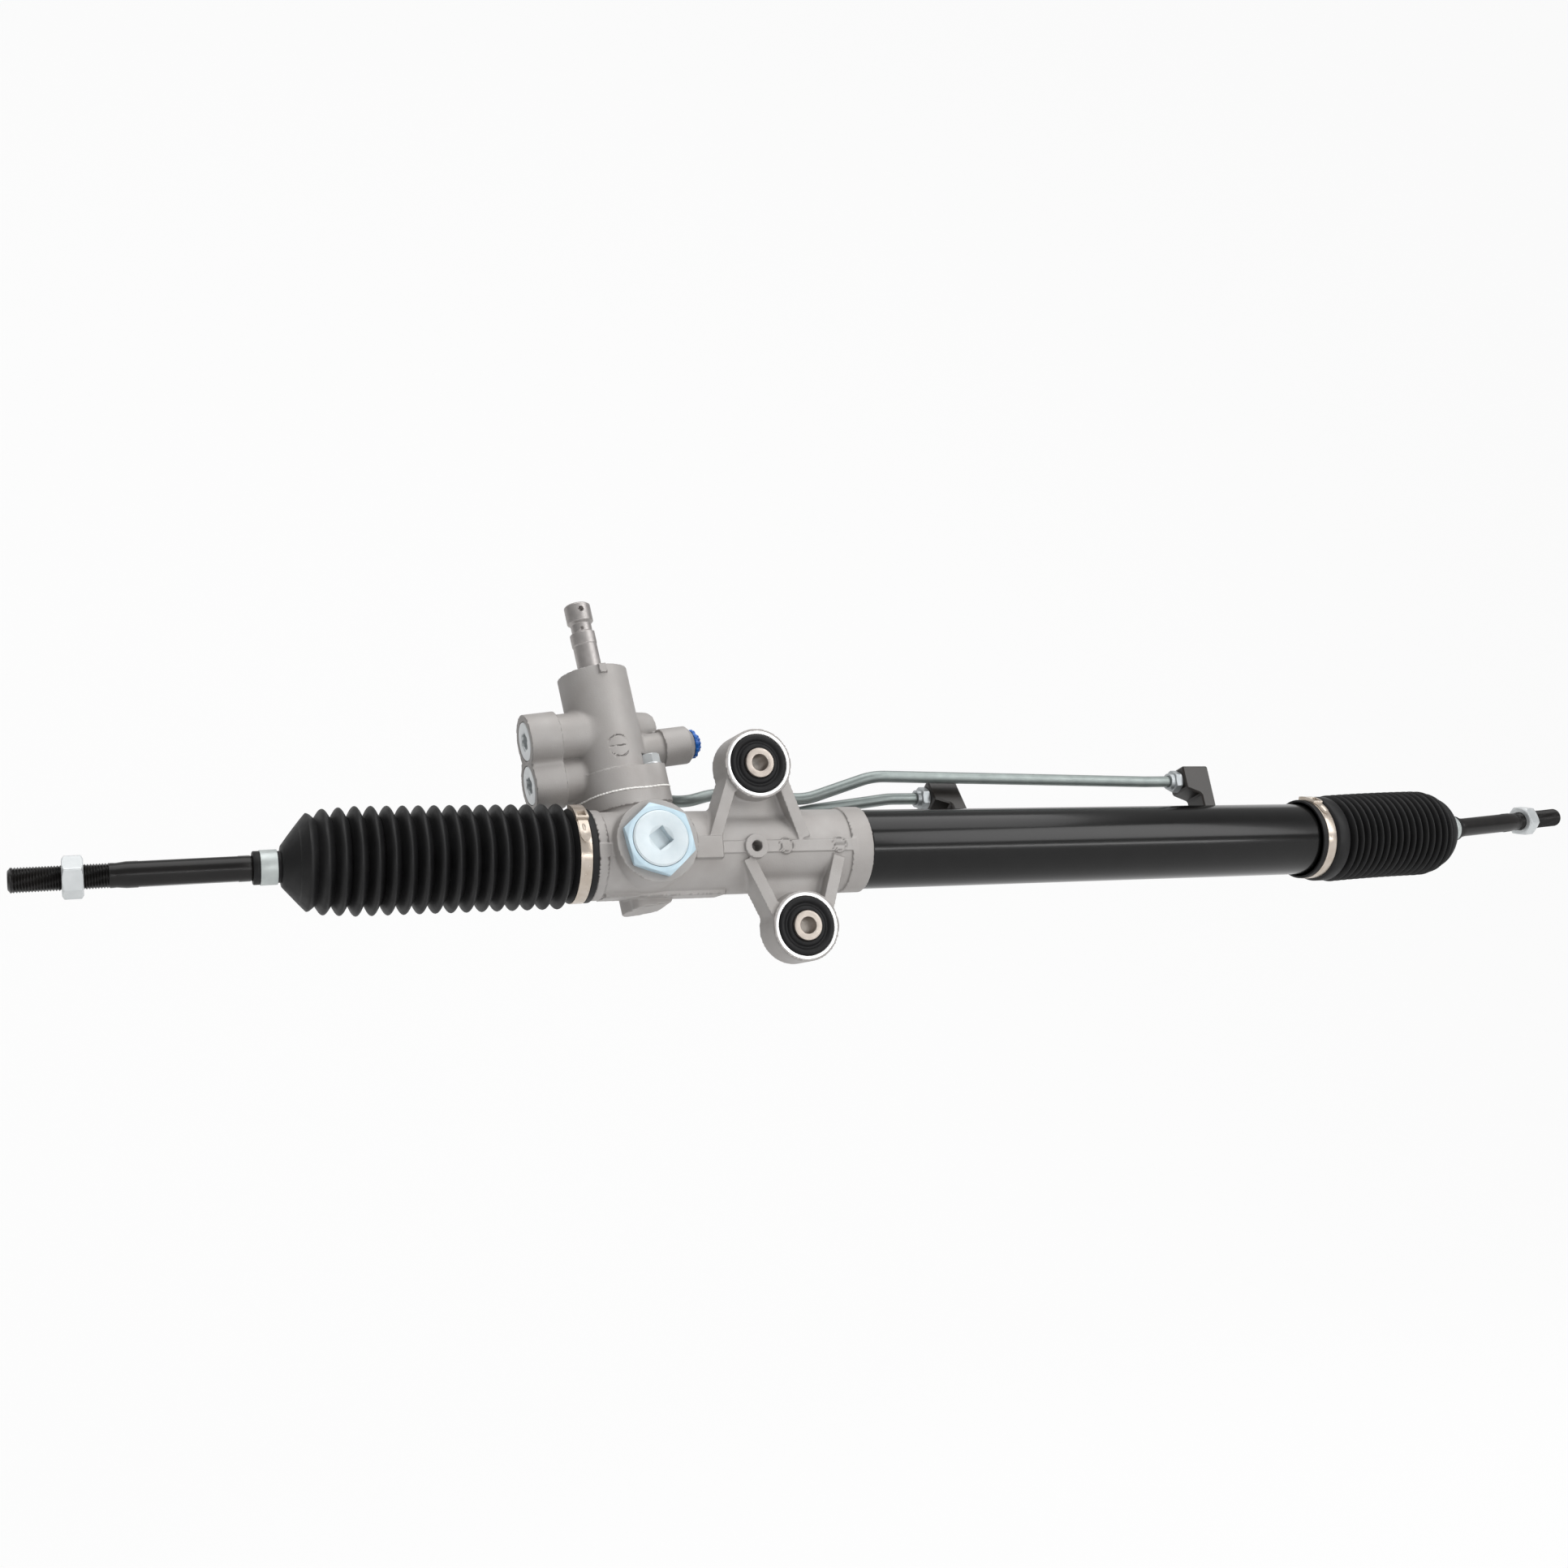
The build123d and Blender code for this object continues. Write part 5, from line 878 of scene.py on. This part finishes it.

# Bellows boots, in four lengths that share rings: the first three stay fixed where they are made, and the
# last rides on its tie rod

# along x: the first and last crest, the lip and the band; radii of the valleys and of the last three crests;
# the crests after which the lengths join; the rise to the rod; the buckle's and tongue's ends in degrees;
# how far to each side of the band the boot sits tight; the nose's last radius and the power of its curve
BOOTS = {
    "left": {
        "near": -200.6, "far": -347.0, "lip": -181.6, "band": -189.3,
        "valley": 25.3, "crests": (28.2, 30.5, 31.2), "joins": (11, 13), "climb": 0.0,
        "buckle": (8, 50, 81), "cuff": 9, "shoulder": (12.0, 1.05),
    },
    "right": {
        "near": 387.0, "far": 485.0, "lip": 359.4, "band": 366.8,
        "valley": 25.6, "crests": (27.2, 30.2, 31.7), "joins": (10, 12.5), "climb": 2.4,
        "buckle": (4, 37, 60), "cuff": 5.1, "shoulder": (13.0, 1.5),
    },
}
RIDGES = 17
CREST = 31.9
SEAT = 25.4
CUFF = SEAT + 2.6
WALL = 1.3


def bellows_run(side):
    """A bellows' direction along the rack and its pitch from crest to crest."""
    length = BOOTS[side]["far"] - BOOTS[side]["near"]
    return np.sign(length), length / (RIDGES - 1)


def ridge_radius(n, side):
    from_end = RIDGES - 1 - n
    return BOOTS[side]["crests"][from_end] if from_end < 3 else CREST


def bellows(side):
    """Outside profile from the lip to the last crest, as (x, r): arcs over crests that meet in the valleys.

    Between crest and valley the radius is valley + (crest - valley) cos^1.25 of the share of a half pitch.
    """
    b = BOOTS[side]
    out, pitch = bellows_run(side)
    lip, band = b["lip"], b["band"]
    start = [(lip, SEAT + 0.6), (lip, CUFF + 0.5), (lip + out * 0.5, CUFF + 0.8)]
    start += [(band - out * 4, CUFF + 0.8), (band - out * 3.9, CUFF)]
    start += [(band + out * 3.9, CUFF), (band + out * 4, CUFF + 0.8)]
    if side == "right":
        collar = b["near"] - pitch / 2 - 2.6
        start += [(band + 5.2, 30.6), (band + 5.8, 31.0), (collar - 0.5, 31.0), (collar, 30.6)]
    start.append((b["near"] - pitch * 0.55, b["valley"] + 1.0))
    profile = [np.array(start)]
    steps = 7
    for n in range(RIDGES):
        t = np.linspace(-1, 1, 2 * steps + 1)[(1 if n else 0) :]
        if n == RIDGES - 1:
            t = t[t <= 0]
        shape = np.cos(np.abs(t) * np.pi / 2) ** 1.25
        radius = b["valley"] + (ridge_radius(n, side) - b["valley"]) * shape
        profile.append(np.stack([b["near"] + (n + t / 2) * pitch, radius], 1))
    return np.concatenate(profile)


def boot(side):
    """The boot's shell, from its lip to the end of its neck, in four lengths."""
    b, spot = BOOTS[side], RODS[side]
    out, pitch = bellows_run(side)
    around = 128
    a = np.linspace(0, 2 * np.pi, around, endpoint=False)
    cosine, sine = np.cos(a)[:, None], np.sin(a)[:, None]

    def rings(profile):
        """Rings about the rack's axis, which the right bellows leaves in a low arc on its way to its rod."""
        x, r = profile[:, 0][:, None], profile[:, 1][:, None]
        climb = np.clip((x - b["near"]) / (b["far"] - b["near"]), 0, 1)
        return np.stack([x + 0 * a, r * np.cos(a), r * np.sin(a) + b["climb"] * climb * (2 - climb)], -1)

    outside = rings(bellows(side))
    # the nose: ring centres, radii and ring axes run from the last crest's to the neck's
    share = np.append(np.linspace(0, 0.93, 15)[1:], [0.96, 1.0])[:, None]
    neck_at = at(spot, 0, 0, 77.5)
    last = ridge_radius(RIDGES - 1, side)
    shoulder, power = b["shoulder"]
    radius = last + (shoulder - last) * (share / 0.93) ** power
    radius = np.where(share > 0.94, 9.1, radius)
    centre = np.array([b["far"], 0, b["climb"]]) * (1 - share) + neck_at * share
    y_axis = Y * (1 - share) + spot[1][:, 0] * share
    z_axis = Z * (1 - share) + np.cross(spot[1][:, 2], spot[1][:, 0]) * out * share
    y_axis /= np.linalg.norm(y_axis, axis=1)[:, None]
    z_axis /= np.linalg.norm(z_axis, axis=1)[:, None]
    nose = centre[:, None] + radius[:, None] * (cosine * y_axis[:, None] + sine * z_axis[:, None])
    neck = []
    for s, r in ((78.4, 9.0), (88.4, 9.0), (88.6, 9.6), (91.6, 9.6), (92, 9.2), (92, 7.4)):
        neck.append(at(spot, 0, 0, s) + r * (cosine * y_axis[-1] + sine * z_axis[-1]))
    outside = np.concatenate([outside, nose, np.array(neck)])
    middle = outside.mean(1, keepdims=True)
    spokes = outside - middle
    reach = np.linalg.norm(spokes, axis=-1, keepdims=True)
    inside = middle + spokes * (1 - WALL / reach)
    # under the band the boot sits on the housing or tube, and its neck on the rod
    cuff = np.abs(inside[:, 0, 0] - b["band"]) < b["cuff"]
    inside[cuff] = (middle + spokes / reach * (SEAT + 0.1))[cuff]
    inside[-5:] = (middle + spokes / reach * 7.4)[-5:]

    stations = middle[:, 0, 0]
    joins = [b["near"] + (k + 0.5) * pitch for k in b["joins"]] + [b["far"] + out * 5]
    cuts = [0] + [int(np.argmin(np.abs(stations - x))) for x in joins] + [len(outside) - 1]
    start = tuple(in_row([b["near"] - pitch * 0.3, 0, 0]))
    rack_end, seat_end, rod_end = (tuple(in_row([stations[c], 0, 0])) for c in cuts[1:4])
    rides = [
        ("housing", "rack", start, rack_end),
        ("rack", side + "_seat", rack_end, seat_end),
        (side + "_seat", side + "_rod", seat_end, rod_end),
        side + "_rod",
    ]
    for index, (first, last_ring, ride) in enumerate(zip(cuts, cuts[1:], rides)):
        ends = slice(first, last_ring + 1)
        shell = np.concatenate([outside[ends], inside[ends][::-1]])
        faces = grid_faces(len(shell), around, True, True)
        name = "%s_bellows_%d" % (side, index + 1)
        piece(name, shell.reshape(-1, 3), faces, "rubber", ride, [side + "_boot"], 55)


for side in BOOTS:
    boot(side)


def boot_band(side):
    """Band clamp: the strap, the boxed buckle with its window, and the tongue that comes out of it."""
    band = BOOTS[side]["band"]
    inner = CUFF + 0.3
    turned(
        side + "_band_strap", place([band, 0, 0], X, Z),
        [(-3.6, inner), (-3.6, inner + 0.8), (3.6, inner + 0.8), (3.6, inner)],
        "band", "housing", [side + "_boot_clamp"], around=200, ease=0.25,
    )
    low, first, last = BOOTS[side]["buckle"]
    sweep = np.radians(np.linspace(first - 4, last, 24))
    angle, share = np.meshgrid(sweep, np.linspace(-1, 1, 9), indexing="ij")
    width = 3.0 * np.sqrt(np.clip((np.radians(last) - angle) * 9, 0.03, 1))
    slot = np.clip(1 - np.hypot((np.degrees(angle) - first - 12) / 7, share / 0.3), 0, 0.4)
    x = band + share * width
    top, bottom = bowed(x, inner + 1.5 - 2.2 * slot, angle), bowed(x, inner + 0.5, angle)
    closed_shell(side + "_band_tongue", top, bottom, "band", "housing")
    sweep = np.radians(np.linspace(low, first, 40))
    angle, share = np.meshgrid(sweep, np.linspace(-1, 1, 25), indexing="ij")
    window = (np.abs(np.degrees(angle) - first + 9) < 5) & (np.abs(share) < 0.62)
    height = np.where(window, 0.9, 3.0) * np.clip((np.radians(first) - angle) * 60, 0.35, 1)
    height = height * np.clip((angle - np.radians(low)) * 60, 0.35, 1)
    x = band + share * 3.9
    top, bottom = bowed(x, inner + height, angle), bowed(x, inner + 0.1, angle)
    closed_shell(side + "_band_buckle", top, bottom, "band", "housing")


def bowed(x, r, angle):
    """Points on a cylinder about the rack: x along it, r out from it, the angle from the top to the front."""
    return np.stack([x + 0 * angle, -(r + 0 * angle) * np.sin(angle), (r + 0 * angle) * np.cos(angle)], -1)


def closed_shell(name, top, bottom, look, body):
    """Two matching grids joined round their rims."""
    n, m = top.shape[:2]
    points = np.concatenate([top.reshape(-1, 3), bottom.reshape(-1, 3)])
    grid = grid_faces(n, m, False, False)
    left, right = np.arange(n - 2, 0, -1) * m, np.arange(1, n) * m + m - 1
    rim = np.concatenate([np.arange(m), right, (n - 1) * m + np.arange(m - 2, -1, -1), left])
    after = np.roll(rim, -1)
    sides = np.stack([rim, after, after + n * m, rim + n * m], 1)
    faces = np.concatenate([grid, grid[:, ::-1] + n * m, sides])
    return piece(name, points, faces, look, body, (), 50)


for side in BOOTS:
    boot_band(side)

# Camera, light and backdrop

# the photograph's width and the camera's focal length in its pixels
PHOTO_WIDTH, FOCAL, SENSOR = 1932, 2037.4, 36
camera = bpy.data.objects.new("photo_camera", bpy.data.cameras.new("photo_camera"))
bpy.context.scene.collection.objects.link(camera)
right, down = (0.92148, -0.38165, -0.07235), (-0.00597, 0.1724, -0.98498)
ahead = (0.38839, 0.9081, 0.1566)
turned_axes = Matrix((right, [-c for c in down], [-c for c in ahead])).transposed()
camera.matrix_world = Matrix.Translation((-0.3849, -0.9498, -0.1749)) @ turned_axes.to_4x4()
camera.data.lens = SENSOR * FOCAL / PHOTO_WIDTH
camera.data.sensor_width = SENSOR
camera.data.clip_end = 50
bpy.context.scene.camera = camera


# how far the floor lies under the origin, in metres, and the share of the paper's glow that the camera sees
FLOOR_DROP, PAPER_GLOW = 0.62, 0.93


def backdrop():
    """A floor that turns up into a wall behind: height is zero, then a quarter circle, then straight up."""
    along = np.linspace(-4, 4, 3)
    t = np.linspace(0, 1, 40)
    depth = np.where(t < 0.5, -3.5 + t * 9.5, 1.25 + 1.2 * np.sin((t - 0.5) * np.pi))
    height = np.where(t < 0.5, 0, 1.2 * (1 - np.cos((t - 0.5) * np.pi)))
    depth, height = np.append(depth, 2.45), np.append(height, 4.0)
    x, y = np.meshgrid(along, depth, indexing="ij")
    z = np.broadcast_to(height, x.shape) - FLOOR_DROP
    mesh = bpy.data.meshes.new("backdrop")
    points = np.stack([x, y, z], -1).reshape(-1, 3)
    mesh.from_pydata(points.tolist(), [], grid_faces(3, len(depth), False, False).tolist())
    mesh.shade_smooth()
    material = bpy.data.materials.new("white_paper")
    material.use_nodes = True
    tree = material.node_tree
    tree.nodes.clear()
    path = add(tree, "ShaderNodeLightPath").outputs
    rays = {"_0": path["Is Camera Ray"], "_1": path["Is Glossy Ray"]}
    seen = add(tree, "ShaderNodeMath", {"operation": "MAXIMUM"}, **rays).outputs[0]
    share = add(tree, "ShaderNodeMath", {"operation": "MULTIPLY"}, _0=seen, _1=PAPER_GLOW).outputs[0]
    paper = add(tree, "ShaderNodeBsdfDiffuse", Color=(0.9, 0.9, 0.9, 1)).outputs[0]
    white = add(tree, "ShaderNodeEmission", Color=(1, 1, 1, 1), Strength=1.0).outputs[0]
    out = add(tree, "ShaderNodeOutputMaterial")
    tree.links.new(add(tree, "ShaderNodeMixShader", _0=share, _1=paper, _2=white).outputs[0], out.inputs[0])
    mesh.materials.append(material)
    made = bpy.data.objects.new("backdrop", mesh)
    bpy.context.scene.collection.objects.link(made)


backdrop()


def softbox(name, spot, aim, size, power):
    """An area light that faces a point."""
    lamp = bpy.data.lights.new(name, "AREA")
    lamp.shape = "RECTANGLE"
    lamp.size, lamp.size_y = size
    lamp.energy = power
    made = bpy.data.objects.new(name, lamp)
    spot, aim = np.array(spot, float), np.array(aim, float)
    away = (spot - aim) / np.linalg.norm(spot - aim)
    side = np.cross(Z if abs(away[2]) < 0.9 else Y, away)
    side /= np.linalg.norm(side)
    axes = Matrix((side, np.cross(away, side), away)).transposed()
    made.matrix_world = Matrix.Translation(spot) @ axes.to_4x4()
    bpy.context.scene.collection.objects.link(made)


MIDDLE = (0.08, 0, -0.05)
softbox("top_softbox", (0.1, -0.5, 1.7), MIDDLE, (2.6, 1.6), 30)
softbox("front_softbox", (1.3, -1.6, 0.75), MIDDLE, (1.2, 1.2), 17)
softbox("strip_softbox", (0.5, -1.7, -0.25), MIDDLE, (2.4, 0.12), 8)

world = bpy.context.scene.world or bpy.data.worlds.new("studio")
bpy.context.scene.world = world
world.use_nodes = True
background = world.node_tree.nodes["Background"].inputs
background["Color"].default_value = (1, 1, 1, 1)
background["Strength"].default_value = 0.38
bpy.context.scene.view_settings.view_transform = "Standard"
